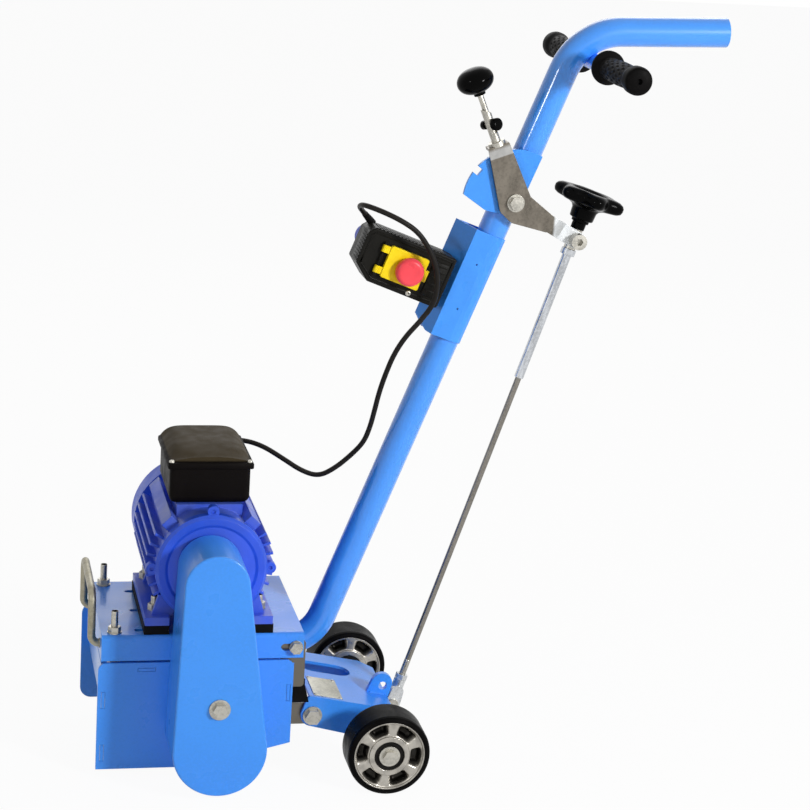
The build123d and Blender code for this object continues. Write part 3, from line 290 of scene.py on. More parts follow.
def hood_coat():
    """Powder coat, left off the lugs of the motor plate and those behind the rear wall."""
    s = powder_coat("hood_blue")
    aside = s.spread(s.maths("ABSOLUTE", s.axis("Y")), *BARE_ASIDE)
    plate_lug = s.maths("MULTIPLY", aside, s.spread(s.axis("Z"), *BARE_ABOVE))
    bare = s.maths("MAXIMUM", plate_lug, s.spread(s.axis("X"), *BARE_BEHIND))
    s.paint(bare, linear(OLD_STEEL))
    s.metal(s.maths("MULTIPLY", bare, BARE_METALLIC))
    return s


def machine_paint(name="motor_blue"):
    """Deep-blue paint of the motor."""
    s = Surface(name, MOTOR_BLUE, roughness=0.42, coat=0.1)
    s.soften(radius=0.0018)
    s.vary(scale=9, darker=0.88, lighter=1.10)
    s.rough(scale=30, low=0.34, high=0.52)
    s.bump(scale=380, depth=0.0006, strength=0.35, detail=4.0)
    s.lighten_edges(radius=0.0010, amount=0.5)
    return s


def dusty_paint():
    """The finned housing: machine paint with grey dust."""
    s = machine_paint("housing_blue")
    dust = s.spread(s.noise(scale=16, detail=5.0), low=0.42, high=0.66, to_high=0.28)
    s.paint(dust, linear(DUST_GREY))
    return s


def bright_steel(name, colour, roughness, stretch=None):
    """Plated or drawn steel; stretch draws its marks out along an axis."""
    s = Surface(name, colour, roughness, metallic=STEEL_METALLIC)
    s.soften(radius=0.0006)
    s.vary(scale=38, darker=0.72, lighter=1.18, detail=5.0, stretch=stretch)
    s.vary(scale=260, darker=0.88, lighter=1.08)
    s.rough(scale=55, low=roughness - 0.10, high=roughness + 0.12, stretch=stretch)
    s.bump(scale=900, depth=0.0001, strength=0.25)
    return s


# The parts of the lever plate painted bright as a highlight: the shelf by its reach from the pivot, the arm by its
# place along X
ROLLED = (1.0, 1.0, 0.35)
SHELF_START = (0.0735, 0.0750)
SHELF_END = (0.0900, 0.0850)
SHELF_HIGHLIGHT = 0.4
ARM_START = (0.2145, 0.2185)
ARM_METALLIC = 0.65


def lever_steel():
    """Rolled flat steel, with painted highlights on the bent shelf and on the joggled arm."""
    s = bright_steel("lever_steel", BARE_STEEL, roughness=0.36, stretch=ROLLED)
    across = s.maths("MULTIPLY", s.maths("SUBTRACT", s.axis("X"), LEVER_PIVOT.x), math.cos(LEVER_LEAN))
    height = s.maths("MULTIPLY", s.maths("SUBTRACT", s.axis("Z"), LEVER_PIVOT.z), math.sin(LEVER_LEAN))
    reach = s.maths("ADD", across, height)
    shelf_start = s.spread(reach, *SHELF_START, 0.0, SHELF_HIGHLIGHT)
    shelf = s.maths("MULTIPLY", shelf_start, s.spread(reach, *SHELF_END))
    arm = s.spread(s.axis("X"), *ARM_START)
    # Painted highlight: the bent shelf and the joggled arm coloured bright steel
    s.paint(s.maths("MAXIMUM", shelf, arm), linear(PAINTED_HIGHLIGHT_STEEL))
    s.metal(s.spread(arm, 0.0, 1.0, STEEL_METALLIC, ARM_METALLIC))
    return s


# How far from the machine's middle the shield screws start
SHIELD_SCREWS = (0.0895, 0.0905)


def bolt_steel():
    """Zinc foot bolts, and shield screws painted with the motor."""
    s = bright_steel("bolt_steel", ZINC, roughness=0.34)
    painted = s.spread(s.maths("ABSOLUTE", s.axis("Y")), *SHIELD_SCREWS)
    s.paint(painted, linear(MOTOR_BLUE))
    s.metal(s.spread(painted, 0.0, 1.0, STEEL_METALLIC, 0.0))
    return s


def plain_steel(name, colour, roughness):
    """Machined steel without plating."""
    s = Surface(name, colour, roughness, metallic=1.0)
    s.soften(radius=0.0005)
    s.vary(scale=25, darker=0.75, lighter=1.15, detail=5.0)
    s.rough(scale=70, low=roughness - 0.1, high=roughness + 0.12)
    s.bump(scale=500, depth=0.0002, strength=0.3)
    return s


# The pockets of the hubs, painted dark as shade, by the distance from the machine's middle
POCKET_OUTSIDE = (0.2006, 0.1900)
POCKET_INSIDE = (0.1504, 0.1610)
POCKET_SHADE = 0.95


def cast_alloy():
    """Machined faces are bright; the pockets between the spokes are painted dark as shade."""
    s = Surface("hub_alloy", ALLOY, roughness=0.34, metallic=0.95)
    s.soften(radius=0.0010)
    s.vary(scale=60, darker=0.78, lighter=1.12, detail=5.0)
    s.rough(scale=90, low=0.26, high=0.46)
    s.bump(scale=700, depth=0.0003, strength=0.3, detail=3.0)
    depth = s.maths("ABSOLUTE", s.axis("Y"))
    pocket = s.maths("MULTIPLY", s.spread(depth, *POCKET_OUTSIDE), s.spread(depth, *POCKET_INSIDE))
    # Painted shade: the recessed pockets darkened towards black
    s.paint(s.maths("MULTIPLY", pocket, POCKET_SHADE), linear(POCKET_SHADE_COLOUR))
    return s


def rubber(name, colour, roughness, specular=0.06):
    """Black rubber with little shine."""
    s = Surface(name, colour, roughness, specular=specular)
    s.vary(scale=20, darker=0.8, lighter=1.5, detail=5.0)
    s.rough(scale=60, low=roughness - 0.08, high=roughness + 0.08)
    s.bump(scale=1100, depth=0.0002, strength=0.3)
    return s


def moulded(name, colour, roughness, grain, specular=0.3):
    """Moulded plastic; grain is the depth of its texture in metres."""
    s = Surface(name, colour, roughness, specular=specular)
    s.soften(radius=0.0010)
    s.vary(scale=30, darker=0.9, lighter=1.12)
    s.rough(scale=50, low=roughness - 0.06, high=roughness + 0.08)
    s.bump(scale=1500, depth=grain, strength=0.3)
    return s


# The heights between which the painted warm reflection sets in on the lid
LID_REFLECTION_HEIGHTS = (0.4842, 0.4870)


def lid_plastic():
    """Black plastic with a painted warm reflection on its crown."""
    s = moulded("lid_plastic", PLASTIC_BLACK, roughness=0.50, grain=0.0002, specular=0.04)
    # Painted reflection: the crown's top made warm brown
    s.paint(s.spread(s.axis("Z"), *LID_REFLECTION_HEIGHTS), linear(WARM_REFLECTION_BROWN))
    return s


MATERIALS = {
    "blue_paint": powder_coat(),
    "motor_blue": machine_paint(),
    "zinc_steel": bright_steel("zinc_steel", ZINC, roughness=0.34),
    "dark_steel": plain_steel("dark_steel", DARK_STEEL, roughness=0.45),
    "cutter_steel": plain_steel("cutter_steel", CUTTER_STEEL, roughness=0.5),
    "hub_alloy": cast_alloy(),
    "tyre_rubber": rubber("tyre_rubber", TYRE_BLACK, roughness=0.34, specular=0.028),
    "black_rubber": rubber("black_rubber", RUBBER_BLACK, roughness=0.55),
    "black_plastic": moulded("black_plastic", PLASTIC_BLACK, roughness=0.46, grain=0.0002, specular=0.04),
    "gloss_black": moulded("gloss_black", GLOSS_BLACK, roughness=0.14, grain=0.00002, specular=0.04),
    "inlet_blue": moulded("inlet_blue", INLET_BLUE, roughness=0.45, grain=0.0001),
    "flap_yellow": moulded("flap_yellow", FLAP_YELLOW, roughness=0.35, grain=0.00008),
    "button_red": moulded("button_red", BUTTON_RED, roughness=0.3, grain=0.00004),
    "button_green": moulded("button_green", BUTTON_GREEN, roughness=0.3, grain=0.00004),
}

# Finishes of single pieces within a record slot
DRAWN = (2.5, 2.5, 0.12)
bearing_seal = rubber("bearing_seal", SEAL_BLACK, roughness=0.5)
FINISHES = {
    "drum_hood": hood_coat(),
    "handle_tube": powder_coat("tube_blue", coat=0.9),
    "lever_plate": lever_steel(),
    "front_handle": bright_steel("handle_steel", HANDLE_STEEL, roughness=0.40),
    "left_wheel_bearings": bearing_seal,
    "right_wheel_bearings": bearing_seal,
    "grips": rubber("grip_rubber", RUBBER_BLACK, roughness=0.48, specular=0.03),
    "adjuster_rod": bright_steel("drawn_steel", ROD_STEEL, roughness=0.30, stretch=DRAWN),
    "adjuster_sleeve": bright_steel("sleeve_steel", SLEEVE_STEEL, roughness=0.24, stretch=DRAWN),
    "rod_clevis": bright_steel("fork_alloy", FORK_ALLOY, roughness=0.30),
    "cord": rubber("cord_rubber", CORD_BLACK, roughness=0.45, specular=0.12),
    "motor_housing": dusty_paint(),
    "motor_bolts": bolt_steel(),
    "terminal_lid": lid_plastic(),
    "switch_body": moulded("switch_plastic", SWITCH_BLACK, roughness=0.38, grain=0.0002, specular=0.10),
}

for subpart in frame["record"]["subparts"]:
    node = nodes[subpart["node"]]
    finish = FINISHES.get(subpart["node"], MATERIALS[subpart["material_slot"]])
    node.data.materials.clear()
    node.data.materials.append(finish.material)


# Motor cord
CORD_ROUNDNESS = 5
CORD_STEPS = 10
CORD_ORDER = 3


def nurbs_cord(name, route, diameter):
    """A smooth round cord along its control points."""
    curve = bpy.data.curves.new(name, "CURVE")
    curve.dimensions = "3D"
    curve.bevel_depth = diameter / 2
    curve.bevel_resolution = CORD_ROUNDNESS
    curve.resolution_u = CORD_STEPS
    curve.use_fill_caps = True
    spline = curve.splines.new("NURBS")
    spline.points.add(len(route) - 1)
    for point, place in zip(spline.points, route):
        point.co = (*place, 1.0)
    spline.order_u = CORD_ORDER
    spline.use_endpoint_u = True
    cord = bpy.data.objects.new(name, curve)
    bpy.context.scene.collection.objects.link(cord)
    return cord


cord = nurbs_cord("motor_cord", CORD_ROUTE, CORD_DIAMETER)
cord.data.materials.append(FINISHES["cord"].material)
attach(cord, "frame")
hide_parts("cord")


# Helpers for the pieces that the CAD leaves to the scene: a shape is a list of points and a list of faces


def piece(name, shape, material, body, crease=40):
    """A mesh that rides on a body, smooth but for its creases."""
    points, faces = shape
    mesh = bpy.data.meshes.new(name)
    mesh.from_pydata(points, [], faces)
    build = bmesh.new()
    build.from_mesh(mesh)
    bmesh.ops.recalc_face_normals(build, faces=build.faces)
    build.to_mesh(mesh)
    build.free()
    mesh.shade_smooth()
    mesh.set_sharp_from_angle(angle=math.radians(crease))
    mesh.materials.append(material.material)
    thing = bpy.data.objects.new(name, mesh)
    bpy.context.scene.collection.objects.link(thing)
    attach(thing, body)
    return thing


def joined(shapes):
    """Several shapes as one."""
    points, faces = [], []
    for more_points, more_faces in shapes:
        faces += [tuple(i + len(points) for i in face) for face in more_faces]
        points += more_points
    return points, faces


def around(count):
    """The angles of a full turn in equal steps."""
    return [2 * math.pi * k / count for k in range(count)]


def bands(rows, width, closed=False):
    """Faces between rows of points that go round a shape; closed joins the last row to the first."""
    faces = []
    for row in range(rows if closed else rows - 1):
        a = row * width
        b = (row + 1) % rows * width
        faces += [(a + k, a + (k + 1) % width, b + (k + 1) % width, b + k) for k in range(width)]
    return faces


def capped(rows, width):
    """Faces between rows of points, with the first and the last row filled in."""
    first = tuple(range(width - 1, -1, -1))
    last = tuple(range((rows - 1) * width, rows * width))
    return bands(rows, width) + [first, last]


def lathe(place, direction, profile, segments=20):
    """A turned shape: the profile is a list of distance, radius pairs."""
    turn = Vector(direction).to_track_quat("Z", "Y").to_matrix()
    points = []
    for distance, radius in profile:
        for angle in around(segments):
            spot = Vector((radius * math.cos(angle), radius * math.sin(angle), distance))
            points.append(tuple(Vector(place) + turn @ spot))
    return points, capped(len(profile), segments)


def thread(place, length, radius, pitch, depth, way=UP):
    """The ridges of a thread on a stud."""
    rows = []
    for k in range(int(length / pitch)):
        rows += [(k * pitch, radius - depth), ((k + 0.5) * pitch, radius)]
    return lathe(place, way, rows + [(length, radius - depth)])


# A domed screw head with a round recess, as shares of its height and radius
SCREW_PROFILE = [(0, 1), (0.45, 1), (0.8, 0.86), (1, 0.6), (1, 0.36), (0.4, 0.28)]


def screw_head(place, direction, radius, height):
    """One screw head."""
    return lathe(place, direction, [(height * h, radius * r) for h, r in SCREW_PROFILE])


def bead(path, radius, closed=False, sides=8, ripple=0.16):
    """A weld bead with ripples along a path."""
    points = []
    count = len(path)
    for i, place in enumerate(path):
        before = Vector(path[i - 1] if closed or i else place)
        after = Vector(path[(i + 1) % count] if closed or i < count - 1 else place)
        turn = (after - before).to_track_quat("Z", "Y").to_matrix()
        size = radius * (1 + ripple * (-1) ** i)
        for angle in around(sides):
            spot = Vector((size * math.cos(angle), size * math.sin(angle), 0))
            points.append(tuple(Vector(place) + turn @ spot))
    return points, bands(count, sides, closed=True) if closed else capped(count, sides)


def ring_path(place, radius, count):
    """Points of a circle about an axis along X."""
    x, y, z = place
    return [(x, y + radius * math.cos(angle), z + radius * math.sin(angle)) for angle in around(count)]


def chunk(outline, low, high, bevel, place):
    """A flat outline given a thickness and bevelled edges; place turns its points into scene points."""
    build = bmesh.new()
    face = build.faces.new([build.verts.new((a, b, low)) for a, b in outline])
    grown = bmesh.ops.extrude_face_region(build, geom=[face])
    top = [v for v in grown["geom"] if isinstance(v, bmesh.types.BMVert)]
    bmesh.ops.translate(build, verts=top, vec=(0, 0, high - low))
    bmesh.ops.bevel(build, geom=build.edges[:], offset=bevel, segments=2, affect="EDGES", profile=0.5)
    build.verts.index_update()
    points = [place(*v.co) for v in build.verts]
    faces = [tuple(v.index for v in f.verts) for f in build.faces]
    build.free()
    return points, faces


def bar(u0, u1, v0, v1):
    """The outline of a rectangle."""
    return [(u0, v0), (u1, v0), (u1, v1), (u0, v1)]


def upright(x, z, y):
    """A point of an upright outline, from millimetres."""
    return (x * MM, y * MM, z * MM)


def level(x, y, z):
    """A point of a level outline, from millimetres."""
    return (x * MM, y * MM, z * MM)


# Strain reliefs where the cord leaves the motor's box and the switch box
RELIEF = [(-0.014, 0.0043), (-0.011, 0.0049), (-0.010, 0.0046), (-0.007, 0.0052), (-0.006, 0.0049),
          (-0.003, 0.0055), (-0.002, 0.0052), (0.001, 0.0058), (0.003, 0.0058)]
MOTOR_GLAND = [(0.009, 0.0090), (0.010, 0.0120), (0.027, 0.0120)]
SWITCH_GLAND = [(0.010, 0.0060)]
motor_way = Vector(CORD_ROUTE[-1]) - Vector(CORD_ROUTE[-2])
switch_way = Vector(CORD_ROUTE[0]) - Vector(CORD_ROUTE[1])
relief_shapes = joined([
    lathe(CORD_ROUTE[-1], motor_way, RELIEF + MOTOR_GLAND),
    lathe(CORD_ROUTE[0], switch_way, RELIEF + SWITCH_GLAND),
])
reliefs = piece("strain_reliefs", relief_shapes, MATERIALS["black_rubber"], "frame")
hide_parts("cord_glands")

# Screws of the terminal lid and of the switch box
LID_SCREW_RADIUS = 0.0042
LID_SCREW_HEIGHT = 0.0034
LID_SCREW_PLACES = [(x, -0.055, 0.484) for x in (-0.353, -0.235)]
SWITCH_SCREW_RADIUS = 0.0045
SWITCH_SCREW_HEIGHT = 0.003
SWITCH_SCREW_PLACE = (-0.0054, -0.0418, 0.7460)
lid_screws = [screw_head(place, UP, LID_SCREW_RADIUS, LID_SCREW_HEIGHT) for place in LID_SCREW_PLACES]
piece("lid_screws", joined(lid_screws), MATERIALS["zinc_steel"], "frame")
switch_screw = screw_head(SWITCH_SCREW_PLACE, LEFT, SWITCH_SCREW_RADIUS, SWITCH_SCREW_HEIGHT)
piece("switch_screw", switch_screw, MATERIALS["zinc_steel"], "frame")

# Threads of the jacking studs and of the motor's foot bolts
STUD_RADIUS = 0.0054
STUD_RIDGE = 0.0007
JACK_LENGTH = 0.0243
JACK_PITCH = 0.0018
JACK_PLACES = [(-0.435, y, 0.2397) for y in (-0.096, 0.112)]
FOOT_LENGTH = 0.0118
FOOT_PITCH = 0.0017
FOOT_PLACES = [(x, y, 0.2667) for x in (-0.374, -0.214) for y in (-0.072, 0.068)]
studs = [thread(place, JACK_LENGTH, STUD_RADIUS, JACK_PITCH, STUD_RIDGE) for place in JACK_PLACES]
studs += [thread(place, FOOT_LENGTH, STUD_RADIUS, FOOT_PITCH, STUD_RIDGE) for place in FOOT_PLACES]
piece("stud_threads", joined(studs), MATERIALS["zinc_steel"], "frame", crease=80)

# Weld beads: the foot of the mast and the ends of the front handle
MAST_FOOT = (-0.1612, 0, 0.172)
MAST_WELD_RADIUS = 0.0230
MAST_WELD_STEPS = 44
MAST_BEAD = 0.0024
HANDLE_ENDS = [(-0.4556, y, 0.207) for y in (-0.08, 0.08)]
HANDLE_WELD_RADIUS = 0.0064
HANDLE_WELD_STEPS = 16
HANDLE_BEAD = 0.0014
mast_weld = bead(ring_path(MAST_FOOT, MAST_WELD_RADIUS, MAST_WELD_STEPS), MAST_BEAD, closed=True)
piece("mast_weld", mast_weld, MATERIALS["blue_paint"], "frame", crease=80)
handle_rings = [ring_path(place, HANDLE_WELD_RADIUS, HANDLE_WELD_STEPS) for place in HANDLE_ENDS]
handle_welds = [bead(ring, HANDLE_BEAD, closed=True) for ring in handle_rings]
piece("handle_welds", joined(handle_welds), FINISHES["front_handle"], "frame", crease=80)

# Weld beads along both sides of the wheel frame's ear
FRAME_EDGE_X = -0.138
FRAME_EDGE_Z = 0.1205
FRAME_SLOPE = math.tan(math.radians(-10.7))
EAR_WELD_START = -0.026
EAR_WELD_STEP = 0.0024
EAR_WELD_STEPS = 11
EAR_WELD_SIDES = (-0.0393, -0.0307)
EAR_BEAD = 0.0020


def frame_top(x, y, above=0.0):
    """A point on the wheel frame's sloping top face."""
    return (x, y, FRAME_EDGE_Z + (x - FRAME_EDGE_X) * FRAME_SLOPE + above)


def ear_weld(y):
    """One bead along X."""
    path = [frame_top(EAR_WELD_START + EAR_WELD_STEP * k, y) for k in range(EAR_WELD_STEPS)]
    return bead(path, EAR_BEAD)


ear_welds = joined([ear_weld(y) for y in EAR_WELD_SIDES])
piece("ear_welds", ear_welds, MATERIALS["blue_paint"], "wheel_frame", crease=80)


# Black rubber sheets in the rear corners below the motor plate's lugs, on the lugs' inner faces: painted shade,
# dark pieces that fill the gaps where shade falls
SHADE_SHEET_OUTLINE = [(-165.5, 111), (-133.5, 111), (-141, 139), (-141, 150), (-165.5, 150)]
SHADE_SHEET_FACES = ((-101.2, -98), (136, 139.2))
SHADE_SHEET_BEVEL = 0.8
shade_sheets = [chunk(SHADE_SHEET_OUTLINE, low, high, SHADE_SHEET_BEVEL, upright) for low, high in SHADE_SHEET_FACES]
piece("lug_shade_sheets", joined(shade_sheets), MATERIALS["black_rubber"], "frame", crease=30)


# Wide ear of the wheel frame, round the hole of the CAD ear
EAR_HOLE = (-5, 110)
EAR_HOLE_RADIUS = 6.5
EAR_TOP = (-6.5, 113.6)
EAR_TOP_RADIUS = 16.8
EAR_ARC_START = -8
EAR_ARC_SPAN = 176
EAR_ARC_STEPS = 24
EAR_FEET = ((-32, 97), (4.5, 91))
EAR_EDGE_STEPS = 6
EAR_FACES = (-39.4, -30.6)


def on_circle(middle, radius, angle):
    """A point of a circle in a plane."""
    return (middle[0] + radius * math.cos(angle), middle[1] + radius * math.sin(angle))


def straight(start, end, count):
    """Points along a straight line, without its end."""
    return [tuple(a + (b - a) * k / count for a, b in zip(start, end)) for k in range(count)]


def ear_plate():
    """An upright plate with a round top and a hole."""
    turns = [EAR_ARC_START + EAR_ARC_SPAN * k / EAR_ARC_STEPS for k in range(EAR_ARC_STEPS + 1)]
    arc = [on_circle(EAR_TOP, EAR_TOP_RADIUS, math.radians(turn)) for turn in turns]
    corners = [arc[-1], *EAR_FEET, arc[0]]
    outer = arc[:-1]
    for start, end in zip(corners, corners[1:]):
        outer += straight(start, end, EAR_EDGE_STEPS)
    spokes = [math.atan2(z - EAR_HOLE[1], x - EAR_HOLE[0]) for x, z in outer]
    inner = [on_circle(EAR_HOLE, EAR_HOLE_RADIUS, spoke) for spoke in spokes]
    low, high = EAR_FACES
    rings = [(outer, low), (outer, high), (inner, high), (inner, low)]
    points = [upright(x, z, y) for ring, y in rings for x, z in ring]
    return points, bands(len(rings), len(outer), closed=True)


piece("wide_ear", ear_plate(), MATERIALS["blue_paint"], "wheel_frame", crease=30)


# Cast hubs: smooth pockets between six spokes; rows are radius, recess and share of the pocket depth
SPOKES = 6
HUB_OUTSIDE = 204
HUB_INSIDE = 147
POCKET_DEPTH = 16
POCKET_TURN = math.radians(54)
POCKET_WIDTH = 0.75
POCKET_SLOPE = 1.3
HUB_ROWS = [
    (14, 14, 0), (23, 14, 0), (23, 0.6, 0), (23.6, 0, 0), (30.6, 0, 0), (31.4, 0.8, 0), (31.6, 2.6, 0),
    (32.4, 3, 0), (33.2, 3, 0.05), (34, 3, 0.25), (35, 3, 0.6), (36.2, 3, 0.88), (38, 3, 1), (44, 3, 1),
    (46.5, 3, 0.9), (48.2, 3, 0.6), (49.4, 3, 0.25), (50.2, 3, 0.05), (51, 3, 0), (51.8, 2.4, 0),
    (52.2, 0.6, 0), (52.8, 0, 0), (54.4, 0, 0), (55, 0.6, 0),
]


def pocket_share(angle):
    """How deep the pockets are round the hub, from 0 on a spoke to 1."""
    part = (math.cos(SPOKES * (angle - POCKET_TURN)) + POCKET_WIDTH) / POCKET_SLOPE
    part = min(1.0, max(0.0, part))
    return part * part * (3 - 2 * part)


def cast_hub(side, segments=144):
    """One hub: its outside from the bore to the rim, then its inside back to the bore."""
    rows = [(HUB_OUTSIDE, -1, *row) for row in HUB_ROWS]
    rows += [(HUB_INSIDE, 1, *row) for row in reversed(HUB_ROWS)]
    points = []
    for face, inward, radius, recess, share in rows:
        for angle in around(segments):
            x, z = on_circle((AXLE.x, AXLE.z), radius * MM, angle)
            y = face + inward * (recess + share * POCKET_DEPTH * pocket_share(angle))
            points.append((x, side * y * MM, z))
    return points, bands(len(rows), segments, closed=True)


for name, side in (("left", -1), ("right", 1)):
    hub_name = f"{name}_cast_hub"
    hub = piece(hub_name, cast_hub(side), MATERIALS["hub_alloy"], f"{name}_wheel", crease=45)
    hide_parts(f"{name}_wheel_hub")


# Switch box in the mast's axes, in millimetres: across the mast, along it, and out to the left
MAST_ORIGIN_X = 93
MAST_ORIGIN_Z = 738
MAST_LEAN = math.radians(20.4)


def on_box(u, v, w):
    """A scene point from the mast's axes."""
    x = MAST_ORIGIN_X + u * math.cos(MAST_LEAN) + v * math.sin(MAST_LEAN)
    z = MAST_ORIGIN_Z - u * math.sin(MAST_LEAN) + v * math.cos(MAST_LEAN)
    return upright(x, z, -w)


# A raised rim round its face, a ribbed pad beside the flap, and teeth on its outer end and its top
RIM_OUTLINE = [(-158, -26), (-50, -26), (-50, 41), (-176, 41), (-182, 34), (-182, -9)]
RIM_FACE = 42
RIM_RADIUS = 1.6
PAD_OUTLINE = bar(-77, -52, -20, 34)
PAD_FACES = (41, 45)
PAD_BEVEL = 1.0
RIB_SPAN = (-75, -54)
RIB_WIDTH = 3
RIB_FACES = (44.5, 46.5)
RIB_BEVEL = 0.7
RIB_STARTS = (-14, -3, 8, 19, 28)
TOOTH_WIDTH = 2.4
TOOTH_BEVEL = 0.6
END_TEETH_SPAN = (-189.5, -184)
END_TEETH_FACES = (8, 41.5)
END_TEETH_STARTS = range(-9, 36, 5)
TOP_TEETH_SPAN = (46, 48.6)
TOP_TEETH_FACES = (4, 41)
TOP_TEETH_STARTS = range(-174, -60, 6)


def switch_ribs():
    """The rim, the pad with its ribs, and the teeth."""
    rim_path = [on_box(u, v, RIM_FACE) for u, v in RIM_OUTLINE]
    shapes = [bead(rim_path, RIM_RADIUS * MM, closed=True, ripple=0.0)]
    shapes.append(chunk(PAD_OUTLINE, *PAD_FACES, PAD_BEVEL, on_box))
    for v in RIB_STARTS:
        shapes.append(chunk(bar(*RIB_SPAN, v, v + RIB_WIDTH), *RIB_FACES, RIB_BEVEL, on_box))
    for v in END_TEETH_STARTS:
        tooth = bar(*END_TEETH_SPAN, v, v + TOOTH_WIDTH)
        shapes.append(chunk(tooth, *END_TEETH_FACES, TOOTH_BEVEL, on_box))
    for u in TOP_TEETH_STARTS:
        tooth = bar(u, u + TOOTH_WIDTH, *TOP_TEETH_SPAN)
        shapes.append(chunk(tooth, *TOP_TEETH_FACES, TOOTH_BEVEL, on_box))
    return joined(shapes)


piece("switch_ribs", switch_ribs(), FINISHES["switch_body"], "frame", crease=30)


# Smooth knob and thumb caps on the plunger, whose line crosses the lever's line above the pivot
PLUNGER_Y = -0.025
PLUNGER_CROSSING = 0.092
CAP_AT = 0.124
CAP_TURN = math.radians(-61)
CAP = [(0.0086, 0.0070), (0.0092, 0.0092), (0.0168, 0.0095), (0.0185, 0.0082), (0.0190, 0.0060)]
SMALL_CAP = [(0.0086, 0.0056), (0.0090, 0.0068), (0.0155, 0.0070), (0.0168, 0.0060), (0.0170, 0.0045)]
KNOB_AT = 0.172
KNOB_NECK = [(0.0, 0.0088), (0.004, 0.0094), (0.0075, 0.0112)]
KNOB_MIDDLE = 0.0225
KNOB_HALF_HEIGHT = 0.0192
KNOB_RADIUS = 0.0283
KNOB_FULLNESS = 0.85
KNOB_TIP = 0.0003
KNOB_ARC_START = -62
KNOB_ARC_SPAN = 152
KNOB_STEPS = 24


def knob_profile():
    """A neck under a flattened ball."""
    rows = list(KNOB_NECK)
    for k in range(KNOB_STEPS + 1):
        angle = math.radians(KNOB_ARC_START + KNOB_ARC_SPAN * k / KNOB_STEPS)
        radius = max(KNOB_TIP, KNOB_RADIUS * math.cos(angle) ** KNOB_FULLNESS)
        rows.append((KNOB_MIDDLE + KNOB_HALF_HEIGHT * math.sin(angle), radius))
    return rows


lever_way = Vector((math.cos(LEVER_LEAN), 0, math.sin(LEVER_LEAN)))
plunger_pivot = Vector((LEVER_PIVOT.x, PLUNGER_Y, LEVER_PIVOT.z))
plunger_root = plunger_pivot + PLUNGER_CROSSING * (lever_way - PLUNGER_WAY)
side_way = Vector((PLUNGER_WAY.z, 0, -PLUNGER_WAY.x))
cap_way = math.cos(CAP_TURN) * side_way + math.sin(CAP_TURN) * PLUNGER_WAY.cross(side_way)
cap_place = plunger_root + CAP_AT * PLUNGER_WAY
knob_shapes = joined([
    lathe(plunger_root + KNOB_AT * PLUNGER_WAY, PLUNGER_WAY, knob_profile(), segments=48),
    lathe(cap_place, cap_way, CAP),
    lathe(cap_place, -cap_way, SMALL_CAP),
])
knob = piece("plunger_knob", knob_shapes, MATERIALS["gloss_black"], "plunger", crease=50)
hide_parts("lever_knob")


# Rubber grips with rows of oval dents; outlines are distance from the middle and radius, in millimetres
GRIP_AXIS = (268.5, 1098)
GRIP_FLANGE = [(70, 12.6), (70, 25.2), (70.4, 25.5), (75, 25.5), (76.3, 24.8), (78, 21.5), (80, 18.2),
               (82, 16.6)]
GRIP_BULB = [(193, 17.0), (197, 17.8), (201, 19.4), (205, 20.5), (210, 20.7), (219, 20.7), (223, 20.0),
             (225.5, 18.7), (227, 16.6), (227, 4.4), (226.6, 4.0), (222, 4.0)]
GRIP_NECK = (84, 85)
GRIP_START = 82
GRIP_SWELL = 140
GRIP_END = 193
GRIP_START_RADIUS = 16.5
GRIP_SWELL_RADIUS = 18.0
GRIP_END_RADIUS = 17.0
DENT_START = 86
DENT_END = 190
DENT_STEP = 1.3
DENT_PITCH = 13
DENT_DEPTH = 1.3
DENT_SHARPNESS = 2.2
DENT_MARGIN = 0.5
DENTS_ROUND = 12


def grip_radius(y):
    """Radius of the grip's middle part."""
    if y < GRIP_SWELL:
        rise = (GRIP_SWELL_RADIUS - GRIP_START_RADIUS) / (GRIP_SWELL - GRIP_START)
        return GRIP_START_RADIUS + rise * (y - GRIP_START)
    fall = (GRIP_END_RADIUS - GRIP_SWELL_RADIUS) / (GRIP_END - GRIP_SWELL)
    return GRIP_SWELL_RADIUS + fall * (y - GRIP_SWELL)


def dent(y, angle):
    """How far the grip is pressed in at a point."""
    row, part = divmod((y - DENT_START) / DENT_PITCH, 1)
    wave = math.cos(DENTS_ROUND * angle + math.pi * row) * math.sin(math.pi * part)
    return DENT_DEPTH * min(1.0, max(0.0, DENT_SHARPNESS * wave - DENT_MARGIN))


def grip_shape(side, segments=96):
    """One grip: inner flange, dented middle, bulb and a small hole in its end."""
    dent_rows = int((DENT_END - DENT_START) / DENT_STEP) + 1
    dented = [DENT_START + DENT_STEP * k for k in range(dent_rows)]
    outline = GRIP_FLANGE + [(y, grip_radius(y)) for y in GRIP_NECK]
    first = len(outline)
    outline += [(y, grip_radius(y)) for y in dented]
    last = len(outline)
    outline += GRIP_BULB
    points = []
    for row, (y, radius) in enumerate(outline):
        for angle in around(segments):
            reach = radius - dent(y, angle) if first <= row < last else radius
            points.append(upright(*on_circle(GRIP_AXIS, reach, angle), side * y))
    return points, capped(len(outline), segments)


grip_shapes = joined([grip_shape(-1), grip_shape(1)])
dented_grips = piece("dented_grips", grip_shapes, FINISHES["grips"], "frame", crease=45)
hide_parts("grips")


# Thread at the foot of the depth rod
ROD_FOOT = Vector((0.017, -0.011, 0.070))
ROD_THREAD_AT = 0.0502
ROD_THREAD_LENGTH = 0.026
ROD_THREAD_RADIUS = 0.0053
ROD_THREAD_PITCH = 0.0018
ROD_RIDGE = 0.0006
thread_start = ROD_FOOT + ROD_THREAD_AT * ROD_WAY
rod_thread_sizes = (ROD_THREAD_LENGTH, ROD_THREAD_RADIUS, ROD_THREAD_PITCH, ROD_RIDGE)
rod_thread = thread(thread_start, *rod_thread_sizes, ROD_WAY)
piece("rod_thread", rod_thread, MATERIALS["zinc_steel"], "rod", crease=80)


